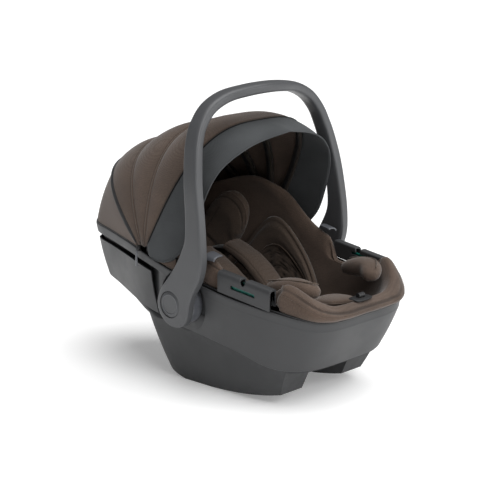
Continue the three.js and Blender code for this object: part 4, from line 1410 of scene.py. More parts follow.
def canopy_section(t: float, half_width: float, radius: float, squareness: float) -> tuple[float, float]:
    """Sideways place and reach on the canopy's arch, for t from -1 to 1."""
    angle = t * math.pi / 2
    return (half_width * power(math.sin(angle), 2 / squareness),
            radius * abs(math.cos(angle)) ** (2 / squareness))


def arch_shares(count: int, widest: float) -> list[float]:
    """Values of t along an arch, closer together at its shoulders and feet."""
    return [widest * (0.72 * u + 0.28 * u ** 3) if abs(u) < 1 else widest * u
            for u in (mix(-1, 1, i / (count - 1)) for i in range(count))]


@dataclass(frozen=True)
class Canopy:
    """Folding canopy: puffed brown panels on four bows, and the grey visor."""

    half_width: float = 186.2
    cloth: float = 1.3
    columns: int = 97
    rows: int = 15
    visor_edge: tuple[tuple[float, float, float], ...] = (
        (0, -141, 510), (72, -130, 497), (116, -122, 481), (150, -110, 458), (170, -100, 432),
                                                          (182, -87, 394),
        (187, -63, 328), (188, -39, 293), (188, 0, 263), (188, 34, 254.5), (188, 62, 261))

    def build(self) -> None:
        """Builds panels, seams, sleeves, zip and visor."""
        self.rear_panel()
        for low, high, puff, body, node in ((BOWS[0], BOWS[1], 6, ("canopy_zip", "canopy_rear"), "zip"),
                                            (BOWS[1], BOWS[2], 6, ("canopy_rear", "canopy_middle"),
                                             "middle"),
                                            (BOWS[2], BOWS[3], 6, ("canopy_middle", "canopy_front"),
                                             "front")):
            self.panel(low, high, puff, body, node)
        for bow in BOWS:
            self.sleeve(bow)
            self.seam(bow)
            redress(f"canopy_bow_{bow.name}", Finish.BLACK)
        self.zip()
        self.zip_pull()
        self.visor()
        self.front_gussets()

    def panel(self, low: Bow, high: Bow, puff: float, bodies: tuple[str, str], name: str) -> None:
        """Cloth between two bows, puffed out between its seams."""
        rows: Rows = []
        for k in range(self.rows):
            share = k / (self.rows - 1)
            bulge = puff * math.sin(math.pi * share) ** 0.75
            row = []
            for t in arch_shares(self.columns, 0.99):
                wrinkle = 0.9 * math.sin(9 * t + 3 * share) * math.sin(math.pi * share)
                x, reach = canopy_section(t, self.half_width + bulge * 0.22,
                                          mix(low.radius, high.radius, share) + bulge + wrinkle,
                                          mix(low.squareness, high.squareness, share))
                margin = math.degrees(0.4 / max(reach, 20))
                row.append(around_hinge(x, reach, mix(low.angle + margin, high.angle - margin, share)))
            rows.append(row)
        cloth = facing(skin(f"canopy_cloth_{name}", rows), CANOPY_HINGE)
        # Painted shade along the seams on both bows; the cloth is not pressed in.
        mark_seams(cloth, self.seam_depth(low, high))
        # The inner side takes the lining finish, painted dark as shade.
        thickened(cloth, self.cloth, lining=True)
        dress(cloth, Finish.BROWN, bodies[1], f"canopy_panel_{name}", lining=Finish.LINING, rides=False)
        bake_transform(cloth)

    def seam_depth(self, low: Bow, high: Bow) -> Callable[[Vector], float]:
        """Painted shade on the cloth close to the seams on two bows."""
        def depth(p: Vector) -> float:
            """Depth from 0 to 1 at one point."""
            offset = p - CANOPY_HINGE
            reach = math.hypot(offset.y, offset.z)
            angle = math.degrees(math.atan2(offset.z, offset.y))
            gap = min(abs(angle - low.angle), abs(angle - high.angle)) * math.radians(1) * reach
            return math.exp(-(gap / 4.5) ** 2)
        return depth

    def rear_panel(self) -> None:
        """Cloth from the shell's rear lip up to the zip."""
        zip_bow = BOWS[0]
        rows: Rows = []
        shares = arch_shares(self.columns, 0.982)
        for k in range(self.rows + 4):
            share = k / (self.rows + 3)
            bulge = 7 * math.sin(math.pi * share) ** 0.8
            row = []
            for t in shares:
                x, reach = canopy_section(t, self.half_width, zip_bow.radius, zip_bow.squareness)
                seam = around_hinge(x, reach, zip_bow.angle - math.degrees(0.4 / max(reach, 20)))
                edge_x, edge_y = plan_point(eased_angle(mix(1.87, 0.13, (t / 0.982 + 1) / 2)), 184, 336, 347)
                foot = Vector((edge_x, edge_y, rim_height(edge_y) + 1.2))
                p = foot.lerp(seam, share)
                away = Vector((p.x * 0.35, p.y - CANOPY_HINGE.y, p.z - CANOPY_HINGE.z)).normalized()
                row.append(p + away * bulge * math.cos(t * math.pi / 2) ** 0.6)
            rows.append(row)
        cloth = facing(skin("canopy_cloth_rear", rows), CANOPY_HINGE)
        # Painted shade along the zip seam; the cloth is not pressed in.
        mark_seams(cloth, self.seam_depth(zip_bow, zip_bow))
        # The inner side takes the lining finish, painted dark as shade.
        thickened(cloth, self.cloth, lining=True)
        dress(cloth, Finish.BROWN, "canopy_zip", "canopy_panel_rear", lining=Finish.LINING, rides=False)
        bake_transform(cloth)
        foot = [p + Vector((0, 0, 0.4)) for p in rows[0]]
        dress(cord_along("canopy_foot_piping", foot, 1.6), Finish.BLACK, "root")

    def arch(self, bow: Bow, drop: float, narrower: float = 0.0, count: int = 121, widest: float = 0.985,
             turn: float = 0.0) -> list[Vector]:
        """Line along a bow at a depth under the cloth."""
        out = []
        for t in arch_shares(count, widest):
            x, reach = canopy_section(t, self.half_width - narrower, bow.radius - drop, bow.squareness)
            out.append(around_hinge(x, reach, bow.angle + turn))
        return even_points(out, count)

    def ribbon(self, name: str, bow: Bow, drop: float, narrower: float, width: float, thickness: float,
               widest: float = 0.985) -> bpy.types.Object:
        """Flat strip that follows a bow, with its width across the bow."""
        path = self.arch(bow, drop, narrower, widest=widest)
        angle = math.radians(bow.angle)
        across = Vector((0, -math.sin(angle), math.cos(angle)))

        def section(share: float) -> list[tuple[float, float]]:
            """Rounded strip, pointed at its feet."""
            narrow = 0.35 + 0.65 * ease(0, 0.05, min(share, 1 - share))
            return [(u * width / 2 * narrow, v * thickness / 2)
                    for u, v in (soft_box(2 * math.pi * i / 12, 0.7) for i in range(12))]
        return sweep(name, path, section, across)

    def sleeve(self, bow: Bow) -> None:
        """Lining sleeve that the bow runs in."""
        drop, narrower = 4.2, self.half_width - bow.half_width - 1.4
        sleeve = self.ribbon(f"bow_sleeve_{bow.name}", bow, drop, narrower, 17.0, 7.4, 0.965)
        # The sleeve takes the lining finish, painted dark as shade.
        dress(sleeve, Finish.LINING, f"canopy_{bow.name}")

    def seam(self, bow: Bow) -> None:
        """Seam piping over the bow that the panels are sewn to."""
        if bow.name in ("zip", "front"):
            return
        piping = self.ribbon(f"canopy_seam_{bow.name}", bow, -0.2, -0.3, 5.2, 2.6, 0.983)
        dress(piping, Finish.BROWN, f"canopy_{bow.name}")

    def zip(self) -> None:
        """Black zip over the rear bow, with its coil of teeth."""
        bow = BOWS[0]
        dress(self.ribbon("canopy_zip_tape", bow, -0.9, -0.9, 9.5, 2.2, 0.983), Finish.ZIP, "canopy_zip")
        path = self.arch(bow, -2.4, -2.0, 700, 0.975)
        ripple = [(math.cos(2 * math.pi * i / 7), math.sin(2 * math.pi * i / 7)) for i in range(7)]
        steps = len(path) - 1
        coil = sweep("canopy_zip_coil", path,
                     lambda share: [(u * (1.5 if round(share * steps) % 2 else 1.0), v * 1.1) for u,
                                    v in ripple],
                     Vector((0, -math.sin(math.radians(bow.angle)), math.cos(math.radians(bow.angle)))))
        dress(coil, Finish.BLACK, "canopy_zip")

    def zip_pull(self) -> None:
        """Slim pull that hangs over the lip, with its slider."""
        path = curve_through([Vector(p) for p in ((-188.6, 94.5, 269), (-190.4, 96, 259), (-190.2, 97, 248),
                                                  (-188.8, 98, 234))], 6)
        pull = sweep("zip_puller", path,
                     lambda share: [(u * mix(2.6, 3.9, ease(0.5, 0.95, share)), v * 0.9) for u, v in
                                    (soft_box(2 * math.pi * i / 16, 0.6) for i in range(16))],
                     Vector((0, 1, 0)))
        dress(pull, Finish.LIGHT, "root", "zip_pull")
        slider = sweep("zip_slider", curve_through([Vector(p) for p in ((-186.4, 93, 276), (-188.2, 94, 271),
                                                                        (-188.9, 94.8, 266))], 5),
                       lambda share: [(u * 4.2, v * 2.0) for u, v in
                                      (soft_box(2 * math.pi * i / 16, 0.6) for i in range(16))],
                       Vector((0, 1, 0)))
        dress(slider, Finish.BLACK, "root")

    def visor_rows(self) -> Rows:
        """Visor from its front edge back to the front bow, on both sides."""
        half = curve_through([Vector(p) for p in self.visor_edge], 24)
        half = even_points(half, 70)
        front = BOWS[3]
        spread = even_points([Vector((*canopy_section(i / 300 * 0.985, self.half_width + 1.6, front.radius,
                                                      front.squareness), 0)) for i in range(301)], 70)
        rows: Rows = []
        for k in range(15):
            share = k / 14
            row = []
            for edge, flat in zip(half, spread):
                seam = around_hinge(flat.x, flat.y, front.angle + math.degrees(0.4 / max(flat.y, 20)))
                p = edge.lerp(seam, share)
                away = Vector((p.x * 0.6, p.y - CANOPY_HINGE.y, p.z - CANOPY_HINGE.z)).normalized()
                row.append(p + away * 2.6 * math.sin(math.pi * share))
            rows.append([Vector((-p.x, p.y, p.z)) for p in reversed(row[1:])] + row)
        return rows

    def visor(self) -> None:
        """Smooth grey visor, painted nearly black inside as shade, bound along its front edge."""
        rows = self.visor_rows()
        visor = facing(skin("visor_cloth", rows), CANOPY_HINGE + Vector((0, 20, 0)))
        thickened(visor, 1.6, lining=True)
        dress(visor, Finish.VISOR, "canopy_front", "canopy_visor", lining=Finish.VISOR_INSIDE)
        binding = cord_along("visor_binding", even_points(rows[0], 260), 1.35)
        dress(binding, Finish.VISOR, "canopy_front")
        # The seam cord takes the inside finish, painted dark as shade.
        seam = cord_along("visor_seam", even_points(rows[-1], 260), 1.5)
        dress(seam, Finish.VISOR_INSIDE, "canopy_front")

    def front_gussets(self) -> None:
        """Small brown gusset with dark piping between the visor's foot and the rim."""
        for side in Side:
            s = side.value
            top = [Vector((s * 184.2, y, z)) for y, z in ((66, 262), (34, 252.5), (6, 259), (-10, 267))]
            low = [Vector((s * 182.0, y, rim_height(y) + 0.6)) for y in (62, 34, 6, -10)]
            rows = [[a.lerp(b, k / 5) + Vector((s * 1.6 * math.sin(math.pi * k / 5), 0, 0))
                     for a, b in zip(curve_through(top, 6), curve_through(low, 6))] for k in range(6)]
            gusset = facing(skin(f"canopy_gusset_{side.tag}", rows), Vector((0, 30, 250)))
            thickened(gusset, 1.2)
            dress(gusset, Finish.BROWN, "root")
            dress(cord_along(f"gusset_piping_{side.tag}", rows[0], 1.1), Finish.BLACK, "root")


# ---- bucket: cover, insert and headrest --------------------------------------------------

BACK_SLOPE = math.atan2(197, 322)
UP_BACK = Vector((0, math.cos(BACK_SLOPE), math.sin(BACK_SLOPE)))
OFF_BACK = Vector((0, -math.sin(BACK_SLOPE), math.cos(BACK_SLOPE)))
BACK_FOOT = Vector((0, 10, 95))


def on_back(x: float, along: float, off: float) -> Vector:
    """Point at a distance up the back and off it."""
    return Vector((x, 0, 0)) + BACK_FOOT + UP_BACK * along + OFF_BACK * off


def bucket_point(angle: float, v: float, inset: float) -> Vector:
    """Point of the bucket's inner surface.

    Args:
        angle: Angle round the seat.
        v: From 0 on the seat to 1 at the crest.
        inset: Distance into the hollow.

    Returns:
        The point in millimetres.
    """
    side, along = math.cos(angle), math.sin(angle)
    x0 = (95 - inset) * power(side, 0.8)
    y0 = -75 + (85 - inset) * power(along, 0.8)
    crest_x, crest_y = plan_point(angle, 152 - inset, 318 - inset, 322 - inset)
    rearness = max(0.0, along) ** 2
    spread = max(v, 0.0) ** mix(0.62, 1, rearness)
    rise = max(v, 0.0) ** mix(1.5, 1, rearness)
    top = crest_height(crest_x, crest_y) - 6
    return Vector((mix(x0, crest_x, spread), mix(y0, crest_y, spread), mix(95 + inset, top, rise)))


@dataclass(frozen=True)
class SeatCover:
    """Brown padded cover: a rolled edge over the rim and the bucket inside it."""

    around: int = 168
    guide_rear: float = -121.0
    guide_front: float = -250.0

    def build(self) -> None:
        """Builds the cover, its trim and the hooks that hold its edge."""
        self.cover()
        self.roll_stitching()
        self.rim_gap()
        for side in Side:
            self.cover_hook(side)

    def hinge_relief(self, y: float) -> float:
        """Narrowing of the cover beside the canopy's hinge."""
        return 1 - 0.105 * ease(0, 58, y)

    def roll_ring(self, half_width: float, front: float, rear: float, share: float) -> list[Vector]:
        """One ring of the rolled edge."""
        out = []
        for p in level(half_width, front, rear, lambda y: 0.0, count=self.around):
            z = mix(rim_height(p.y) + 2, crest_height(p.x, p.y), share)
            room = self.guide_room(p.y) * (1 if half_width > 160 else 0)
            out.append(Vector((p.x * self.hinge_relief(p.y) * (1 - 0.118 * room), p.y, z)))
        return out

    def guide_room(self, y: float) -> float:
        """Where the cover tucks in behind a belt guide, from 0 to 1."""
        return ease(self.guide_front - 6, self.guide_front + 1, y) * (1 - ease(self.guide_rear - 1,
                                                                              self.guide_rear + 7, y))

    def rows(self) -> Rows:
        """Rings from the roll's underside over the crest and down to the seat."""
        roll = [self.roll_ring(*sizes) for sizes in (
            (168, 331, 322, 0.0), (176, 341, 328, 0.02), (178.5, 350, 331, 0.4), (174.5, 346.5, 331, 0.8),
            (165.5, 335, 328, 1.0), (157, 324, 325, 0.94))]
        angles = ring_angles(self.around)
        inside = [[bucket_point(a, v, 0) for a in angles] for v in (0.93, 0.86)]
        columns = [curve_through([ring[i] for ring in roll + inside], 4) for i in range(self.around)]
        rows = [[column[k] for column in columns] for k in range(len(columns[0]))]
        rows += [[bucket_point(a, 0.86 * (1 - k / 26), 0) for a in angles] for k in range(1, 27)]
        return [[self.recessed(p) for p in row] for row in rows]

    def recessed(self, p: Vector) -> Vector:
        """Presses the cover down where a belt guide reaches inside the rim."""
        along = ease(self.guide_front - 4, self.guide_front, p.y) * (1 - ease(self.guide_rear,
                                                                            self.guide_rear + 4, p.y))
        limit = 225.0 - 0.13 * (self.guide_rear - p.y)
        pressed = mix(p.z, limit, along * ease(134, 145, abs(p.x))) if p.z > limit else p.z
        return Vector((p.x, p.y, pressed))

    def cover(self) -> None:
        """Padded cover with its seams pressed in."""
        rows = self.rows()
        middle = sum(rows[-1], Vector()) / len(rows[-1])
        rows.append([middle.lerp(p, 0.5) for p in rows[-1]])
        rows.append([middle.lerp(p, 0.02) for p in rows[-1]])
        cover = facing(skin("bucket_cover", rows, round_rows=True), Vector((0, 0, -4000)))
        build = bmesh.new()
        build.from_mesh(cover.data)
        bmesh.ops.holes_fill(build, edges=[e for e in build.edges if e.is_boundary
                                           and e.verts[0].co.z < 0.12 and e.verts[0].co.length < 0.2],
                             sides=400)
        build.to_mesh(cover.data)
        build.free()
        ruffled(cover, 1.1, 46)
        ruffled(cover, 0.5, 17, 3.0)
        thickened(cover, 3.0)
        # Seams pressed 1.6 mm in, with painted shade along them.
        mark_seams(cover, self.seam_depth, 1.6)
        subdivided(cover)
        dress(cover, Finish.BROWN, "root", "seat_cover")

    def seam_depth(self, p: Vector) -> float:
        """Seam that runs round the roll and down the wings, pressed in and darkened by painted shade."""
        line = self.roll_line(p)
        on_roll = 0.0
        if p.z > rim_height(p.y) and abs(p.x) > 20 or p.y < -300:
            on_roll = math.exp(-((p.z - line) / 1.3) ** 2) * (1 if self.outside(p) else 0)
        wing = math.exp(-((p.y + 62 - 0.10 * (p.z - 200)) / 1.6) ** 2) * ease(228, 245, p.z)
        return max(on_roll, 0.7 * wing * (1 if abs(p.x) > 118 else 0))

    def roll_line(self, p: Vector) -> float:
        """Height of the roll's seam, a little under its crown."""
        return mix(rim_height(p.y) + 2, crest_height(p.x, p.y), 0.86)

    def outside(self, p: Vector) -> bool:
        """Whether a point is on the outer half of the roll."""
        return (abs(p.x) / 170) ** 3.5 + (abs(p.y) / 338) ** 3.5 > 0.96

    def roll_stitching(self) -> None:
        """Twin row of stitches along the roll, from guide to guide round the feet."""
        for name, ring_size in (("upper", (170.4, 341.4, 330, 0.915)), ("lower", (177.4, 349.4, 331, 0.66))):
            ring = [p for p in self.roll_ring(*ring_size)]
            path = sorted((p for p in ring if p.y < self.guide_front - 6),
                          key=lambda p: math.atan2(p.x, -p.y))
            row = stitches(f"roll_stitches_{name}", path, lambda p: Vector((p.x / 170, p.y / 338, 0.9)))
            dress(row, Finish.DARK, "root")

    def rim_gap(self) -> None:
        """Dark welt in the gap between the roll and the shell's rim."""
        ring = level(178, 338, 340, lambda y: rim_height(y) + 0.8, count=180)
        path = [Vector((p.x * self.hinge_relief(p.y), p.y, p.z)) for p in ring if p.y < 40]
        path.sort(key=lambda p: math.atan2(p.x, -p.y - 60))
        dress(cord_along("rim_welt", even_points(path, 240), 2.3), Finish.BLACK, "root")

    def cover_hook(self, side: Side) -> None:
        """Tab that hooks the cover's edge, with a turned-up lip."""
        s = side.value
        path = curve_through([Vector((s * x, -98, z)) for x, z in ((157, 285.5), (164, 286.6), (172, 286.0),
                                                                   (179, 282.5), (181.5, 277))], 6)
        tab = sweep(f"cover_tab_{side.tag}", path,
                    lambda share: [(u * 12.5, v * 2.0) for u, v in
                                   (soft_box(2 * math.pi * i / 24, 0.35) for i in range(24))],
                    Vector((0, 1, 0.2)))
        eased_edges(tab, 0.5, 2, 50)
        dress(tab, Finish.LIGHT, "root", f"cover_hook_{side.tag}")


@dataclass(frozen=True)
class NewbornInsert:
    """Dark insert quilted in hexagons inside a smooth rolled border."""

    cell: float = 27.0
    around: int = 260
    rows_up: int = 96
    border: float = 0.80

    def build(self) -> None:
        """Builds the quilted insert and its piping."""
        angles = ring_angles(self.around)
        tops = self.tops(angles)
        rows: Rows = []
        for k in range(1, self.rows_up + 1):
            share = k / self.rows_up
            rows.append([self.face_point(a, share, top) for a, top in zip(angles, tops)])
        for inset, share in ((22, 1.02), (16, 1.035), (10, 1.02), (8, 0.98)):
            rows.append([bucket_point(a, min(share * top, 0.97), inset) for a, top in zip(angles, tops)])
        rows += [[bucket_point(a, top * share, 7) for a, top in zip(angles, tops)] for share in (0.7, 0.4,
                                                                                                 0.1)]
        quilted = set()
        for row in rows[:round(self.rows_up * (self.border - 0.03))]:
            quilted.update(self.key(p) for p in row)
        pad = skin("insert_pad", rows, round_rows=True, capped=True)
        # Quilting pressed 3.2 mm in, with painted shade along its seams.
        mark_seams(pad, lambda p: self.seam_depth(p) if self.key(p) in quilted else 0.0, 3.2)
        dress(pad, Finish.DARK, "root", "newborn_insert")
        piping = [self.face_point(a, self.border, top) + self.inward(a) * 1.0 for a,
                  top in zip(angles, tops)]
        dress(cord_along("insert_piping", even_points(piping + piping[:1], 420)[:-1], 1.5, closed=True),
              Finish.BROWN, "root")

    def inward(self, angle: float) -> Vector:
        """Direction off the insert's wall into the hollow."""
        return Vector((-math.cos(angle), -math.sin(angle), 0.4)).normalized()

    def tops(self, angles: Sequence[float]) -> list[float]:
        """How far up the bucket the insert reaches at each angle, smoothed."""
        raw = []
        for angle in angles:
            reach = 0.05
            for i in range(1, 101):
                p = bucket_point(angle, i / 100, 8)
                along = (p - BACK_FOOT).dot(UP_BACK)
                if p.z >= height_at(INSERT_HEIGHT, p.y) or along >= 122 or p.y <= -215:
                    break
                reach = i / 100
            raw.append(max(reach, 0.08))
        count = len(raw)
        for _ in range(40):
            raw = [(raw[i - 1] + 2 * raw[i] + raw[(i + 1) % count]) / 4 for i in range(count)]
        return raw

    def face_point(self, angle: float, share: float, top: float) -> Vector:
        """Point of the insert's face, thicker along its border."""
        roll = ease(self.border - 0.02, self.border + 0.07, share) * (1 - ease(0.93, 1.02, share))
        inset = 21.5 + 5.0 * roll - 2.5 * ease(0.95, 1.0, share)
        return bucket_point(angle, share * top, inset)

    def seam_depth(self, p: Vector) -> float:
        """Depth of the hexagon quilting at a point, none on the border; it presses the quilting in and darkens it
        with painted shade.
        """
        offset = p - BACK_FOOT
        along, off = offset.dot(UP_BACK), offset.dot(OFF_BACK)
        across = 92.0 * math.atan2(p.x, 118.0 - off)
        edge = self.edge_distance(across, along)
        return math.exp(-((edge - 2.0) / 1.25) ** 2)

    def key(self, p: Vector) -> tuple[float, float, float]:
        """A point rounded so that it can be looked up again."""
        return (round(p.x, 1), round(p.y, 1), round(p.z, 1))

    def edge_distance(self, u: float, v: float) -> float:
        """Distance from a hexagon's edge."""
        wide, tall = self.cell, self.cell * math.sqrt(3)
        best = -1.0
        for shift_u, shift_v in ((0.0, 0.0), (wide / 2, tall / 2)):
            qu = (u + shift_u + wide / 2) % wide - wide / 2
            qv = (v + shift_v + tall / 2) % tall - tall / 2
            reach = max(abs(qu), abs(0.5 * qu + 0.8660254 * qv), abs(0.5 * qu - 0.8660254 * qv))
            best = max(best, wide / 2 - reach)
        return best


@dataclass(frozen=True)
class Headrest:
    """Dark headrest with two rounded wings and a lighter rolled border."""

    bottom: float = 128.0
    length: float = 112.0
    profile: tuple[tuple[float, float], ...] = (
        (0, 38), (30, 41), (60, 55), (73, 92), (75, 146), (83, 173), (97, 174), (101, 136), (95, 66),
                                                (78, 25),
        (50, 18), (0, 17))

    def build(self) -> None:
        """Builds the pad, its seams and the board behind it."""
        pad = self.pad()
        dress(pad, Finish.DARK, "headrest", "headrest_pad")
        for side in Side:
            self.wing_border(side)
        self.centre_seam()
        redress("headrest_board", Finish.BLACK)

    def roundness(self, share: float) -> float:
        """How far the wings stand out at a share of the length."""
        return (1 - abs(2 * share - 1) ** 2.6) ** (1 / 2.2)

    def outline(self, share: float) -> list[Vector]:
        """Closed section of the headrest at a share of its length."""
        half = self.profile
        full = [*half, *[(-x, off) for x, off in reversed(half[1:-1])]]
        size = self.roundness(share)
        along = self.bottom + self.length * share
        points = []
        for x, off in full:
            grow = mix(0.30, 1.0, size)
            level_off = mix(28, off, grow) if off > 28 else off
            points.append(on_back(x * mix(0.80, 1.0, size), along, level_off))
        return curve_through(points, 4, closed=True)

    def pad(self) -> bpy.types.Object:
        """Plump pad in one piece."""
        rows = [self.outline(k / 24) for k in range(1, 24)]
        pad = skin("headrest_cushion", rows, round_rows=True, capped=True)
        plumped(pad, 7.0, 5.0, 4.0)
        # Seams pressed 1.8 mm in, with painted shade along them.
        mark_seams(pad, self.seam_depth, 1.8)
        return pad

    def seam_depth(self, p: Vector) -> float:
        """Seam between the wings' faces and their border, and across the pillow, pressed in and darkened by painted
        shade.
        """
        offset = p - BACK_FOOT
        along, off = offset.dot(UP_BACK), offset.dot(OFF_BACK)
        wing = math.exp(-((off - self.border_line(along)) / 1.5) ** 2) if 60 < abs(p.x) < 96 else 0.0
        brow = 0.8 * math.exp(-((along - 214 + 0.0016 * p.x ** 2) / 1.5) ** 2) if abs(p.x) < 70 else 0.0
        return max(wing * (1 if off > 50 else 0), brow)

    def border_line(self, along: float) -> float:
        """Height of the border's seam off the back."""
        share = (along - self.bottom) / self.length
        return mix(28, 157, mix(0.30, 1.0, self.roundness(min(max(share, 0.02), 0.98))))

    def wing_border(self, side: Side) -> None:
        """Lighter piping round a wing's front edge."""
        s = side.value
        path = []
        for k in range(3, 38):
            along = self.bottom + self.length * k / 40
            line = self.border_line(along)
            path.append(on_back(s * mix(74, 86, ease(60, 140, line)) * 1.0, along, line + 10.5))
        dress(cord_along(f"headrest_piping_{side.tag}", even_points(path, 80), 1.7), Finish.BROWN,
              "headrest")

    def centre_seam(self) -> None:
        """Row of stitches across the pillow."""
        path = [on_back(x, 214 - 0.0016 * x * x, 44 + 0.0032 * x * x) for x in range(-56, 57, 4)]
        dress(stitches("headrest_stitches", path, lambda p: OFF_BACK), Finish.BROWN, "headrest")


# ---- harness -----------------------------------------------------------------------------


def strap_section(width: float, thickness: float) -> Callable[[float], list[tuple[float, float]]]:
    """Flat woven section with thicker selvedges."""
    half = width / 2
    outline = [(-half, -0.3), (-half, 0.3), (-half + 1.2, 0.62), (-half + 3.2, 0.5), (0, 0.5),
               (half - 3.2, 0.5),
               (half - 1.2, 0.62), (half, 0.3), (half, -0.3), (half - 1.2, -0.62), (half - 3.2, -0.5),
               (0, -0.5),
               (-half + 3.2, -0.5), (-half + 1.2, -0.62)]
    return lambda share: [(u, v * thickness) for u, v in outline]


@dataclass(frozen=True)
class Harness:
    """Three-point harness: shoulder straps in sleeves, lap straps, buckle and crotch pad."""

    strap_width: float = 38.0
    across: tuple[float, float, float] = (1, 0, 0)

    def build(self) -> None:
        """Builds straps, pads, buckle, bolsters and the adjuster."""
        for side in Side:
            self.shoulder(side)
            self.lap(side)
            self.bolster(side)
        self.buckle()
        self.crotch()
        self.adjuster()

    def shoulder(self, side: Side) -> None:
        """Shoulder strap and the padded sleeve on it."""
        s = side.value
        path = curve_through([on_back(s * x, a, o) for x, a, o in (
            (42, 160, 62), (43, 120, 92), (44, 60, 98), (41, 0, 96), (34, -52, 92), (27, -80, 88))], 8)
        strap = sweep(f"shoulder_webbing_{side.tag}", path, strap_section(self.strap_width, 1.6),
                      Vector(self.across))
        dress(strap, Finish.STRAP, "root", f"shoulder_strap_{side.tag}")
        line = curve_through([on_back(s * x, a, o) for x, a, o in (
            (43, 117, 103), (45, 60, 111), (42, 0, 108), (36, -47, 103))], 14)
        self.sleeve(side, line)

    def sleeve(self, side: Side, line: list[Vector]) -> None:
        """Open-ended padded sleeve, crowned on top and hollow for the strap."""
        rows: Rows = []
        hollow: Rows = []
        for index, centre in enumerate(line):
            share = index / (len(line) - 1)
            tangent = tangent_at(line, index)
            flat = Vector((1, 0, 0)) - tangent * tangent.x
            flat.normalize()
            up = flat.cross(tangent)
            if up.z < 0:
                up.negate()
            swell = 0.84 + 0.16 * math.sin(math.pi * share) ** 0.5
            outer, inner = [], []
            for i in range(36):
                u, v = soft_box(2 * math.pi * i / 36, 0.72)
                crown = 1.15 if v > 0 else 0.62
                outer.append(centre + flat * u * 31 * swell + up * v * 11.5 * crown * swell)
                inner.append(centre + flat * u * 24 + up * (v * 3.6 - 1.0))
            rows.append(outer)
            hollow.append(inner)
        hollow.reverse()
        pad = skin(f"shoulder_sleeve_{side.tag}", rows + hollow, round_rows=True, looped=True)
        subdivided(pad)
        ruffled(pad, 1.2, 22, side.value * 4.0)
        # Seams pressed 1.2 mm in, with painted shade along them.
        mark_seams(pad, self.sleeve_seam(line), 1.2)
        dress(pad, Finish.DARK, "root", f"shoulder_pad_{side.tag}")
        for end, index in (("low", -1), ("high", 0)):
            ring = curve_through(rows[index][::3], 4, closed=True)
            cord = cord_along(f"sleeve_piping_{end}_{side.tag}", ring, 1.6, closed=True)
            dress(cord, Finish.BROWN, "root")

    def sleeve_seam(self, line: list[Vector]) -> Callable[[Vector], float]:
        """Two seams that run along the sleeve near its edges, pressed in and darkened by painted shade."""
        def depth(p: Vector) -> float:
            """Depth from 0 to 1 at one point."""
            near = min(line, key=lambda q: (q - p).length_squared)
            return 0.8 * math.exp(-((abs(p.x - near.x) - 24.5) / 1.1) ** 2) * (1 if (p - near).z > 3 else 0)
        return depth

    def lap(self, side: Side) -> None:
        """Lap strap and its buckle tongue."""
        s = side.value
        path = curve_through([Vector((s * x, y, z)) for x, y, z in ((88, -92, 152), (78, -112, 160),
                                                                    (60, -126, 162), (41, -134, 163))], 8)
        strap = sweep(f"lap_webbing_{side.tag}", path, strap_section(30, 1.6), Vector((0, 0.75, 0.65)))
        dress(strap, Finish.STRAP, "root", f"lap_strap_{side.tag}")
        tongue = sweep(f"tongue_{side.tag}", curve_through([Vector((s * x, y, z)) for x, y, z in (
            (33, -128, 160), (30, -141, 159), (28, -150, 158.5))], 6),
            lambda share: [(u * mix(6, 4, share), v * 1.5) for u, v in
                           (soft_box(2 * math.pi * i / 20, 0.4) for i in range(20))], Vector((0, 0.4, 0.9)))
        dress(tongue, Finish.STEEL, "root", f"buckle_tongue_{side.tag}")

    def buckle(self) -> None:
        """Buckle body with a rounded housing; its button keeps its own node."""
        path = curve_through([Vector(p) for p in ((0, -122, 156), (0, -136, 163.2), (0, -150, 170),
                                                  (0, -164, 174.5), (0, -178, 178))], 8)

        def section(share: float) -> list[tuple[float, float]]:
            """Housing that narrows at both ends."""
            end = (1 - abs(2 * share - 1) ** 5) ** 0.5 if 0 < share < 1 else 0.2
            width = mix(19, 26, ease(0, 0.6, share))
            return [(u * width * max(end, 0.35), v * 10 * max(end, 0.35))
                    for u, v in (soft_box(2 * math.pi * i / 32, 0.55) for i in range(32))]
        body = sweep("buckle_housing", path, section, Vector(self.across))
        subdivided(body)
        carved(body, disc_tool("buckle_tool", 7.6, -11, 11, -158, 184, 40))
        body.data.set_sharp_from_angle(angle=math.radians(40))
        dress(body, Finish.BLACK, "root", "buckle_body")
        redress("buckle_button", Finish.BLACK)
        strap = sweep("crotch_webbing", curve_through([Vector(p) for p in ((0, -138, 124), (0, -150, 136),
                                                                           (0, -160, 152))], 8),
                      strap_section(36, 1.6), Vector(self.across))
        dress(strap, Finish.STRAP, "root", "crotch_strap")

    def crotch(self) -> None:
        """Tongue-shaped pad in front of the buckle, piped all round."""
        path = curve_through([Vector(p) for p in ((0, -198, 175.5), (0, -232, 188), (0, -268, 194),
                                                  (0, -301, 197))], 12)

        def half_width(share: float) -> float:
            """Half the pad's width along its length."""
            return 37 * (1 - ease(0.55, 1.0, share) ** 3 * 0.75) * mix(0.72, 1, ease(0, 0.25, share))

        def section(share: float) -> list[tuple[float, float]]:
            """Crowned section of the pad."""
            lift = 7.2 * (1 - (2 * share - 1) ** 6 * 0.8)
            return [(u * half_width(share), v * lift) for u, v in
                    (soft_box(2 * math.pi * i / 28, 0.9) for i in range(28))]
        pad = sweep("crotch_cushion", path, section, Vector(self.across))
        plumped(pad, 2.0, 4.0, 3.0)
        dress(pad, Finish.BROWN, "root", "crotch_pad")
        right, left = [], []
        for index, centre in enumerate(path):
            share = index / (len(path) - 1)
            reach = half_width(share) + 0.6
            right.append(centre + Vector((reach, 0, 0)))
            left.append(centre + Vector((-reach, 0, 0)))
        tip = path[-1] + Vector((0, -4.0, 0))
        edge = curve_through(right[::4] + [tip] + left[::-4], 6)
        dress(cord_along("crotch_piping", edge, 1.5), Finish.DARK, "root")

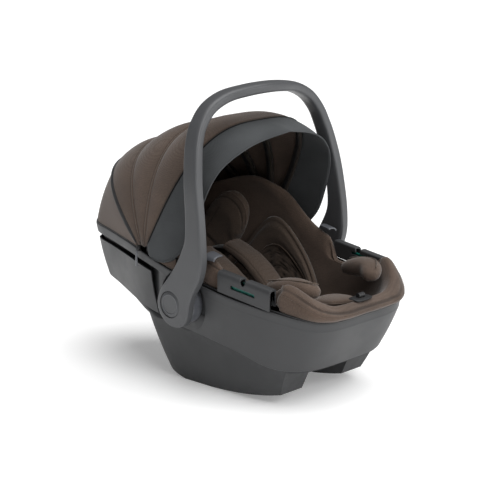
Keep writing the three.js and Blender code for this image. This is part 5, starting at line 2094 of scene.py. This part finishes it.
    def bolster(self, side: Side) -> None:
        """Soft leg bolster at the front corner, with a piped seam over it."""
        s = side.value
        path = curve_through([Vector((s * x, y, z)) for x, y, z in ((112, -186, 224), (112, -228, 234),
                                                                    (104, -262, 236), (74, -285, 227))], 10)

        def section(share: float) -> list[tuple[float, float]]:
            """Round section, full in the middle and closed at the ends."""
            size = max((1 - abs(2 * share - 1) ** 2.6), 0.02) ** 0.45
            return [(u * 19.0 * size, v * 24.0 * size) for u, v in
                    (soft_box(2 * math.pi * i / 24, 0.85) for i in range(24))]
        pad = sweep(f"leg_cushion_{side.tag}", path, section, Vector((0, 0, 1)))
        plumped(pad, 4.0, 4.0, 4.0)
        dress(pad, Finish.BROWN, "root", f"leg_bolster_{side.tag}")
        inner = Vector((s * 52, -205, 226))
        line = []
        for centre in path[3:-3]:
            out = (centre - inner)
            out.z = 0
            line.append(centre + out.normalized() * 11.5 + Vector((0, 0, 17.5)))
        dress(cord_along(f"leg_piping_{side.tag}", line, 1.4), Finish.DARK, "root")

    def adjuster(self) -> None:
        """Plate and button that loosen the harness."""
        path = curve_through([Vector(p) for p in ((0, -309, 209.6), (0, -316, 210.4), (0, -322, 210.4),
                                                  (0, -329, 209.6), (0, -336, 208))], 6)

        def section(share: float) -> list[tuple[float, float]]:
            """Thin rounded plate."""
            end = max(1 - abs(2 * share - 1) ** 6, 0.02) ** 0.4
            return [(u * 25 * end, v * 1.5) for u, v in
                    (soft_box(2 * math.pi * i / 32, 0.5) for i in range(32))]
        plate = sweep("adjuster_surround", path, section, Vector(self.across))
        subdivided(plate)
        carved(plate, disc_tool("adjuster_tool", 5.7, -9, 9, -322, 213.4, 40))
        plate.data.set_sharp_from_angle(angle=math.radians(40))
        dress(plate, Finish.BLACK, "root", "adjuster_plate")
        redress("adjuster_button", Finish.BLACK)


# ---- the whole seat ----------------------------------------------------------------------


def main() -> None:
    """Builds the seat in order and writes how large it came out."""
    logging.basicConfig(level=logging.INFO, format="%(name)s: %(message)s")
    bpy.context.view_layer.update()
    Studio().build()
    for assembly in (Tub(), Shell(), Handle(), SeatCover(), NewbornInsert(), Headrest(), Harness(),
                     Canopy()):
        assembly.build()
        log.info("%s built", type(assembly).__name__)


if __name__ == "__main__":
    main()
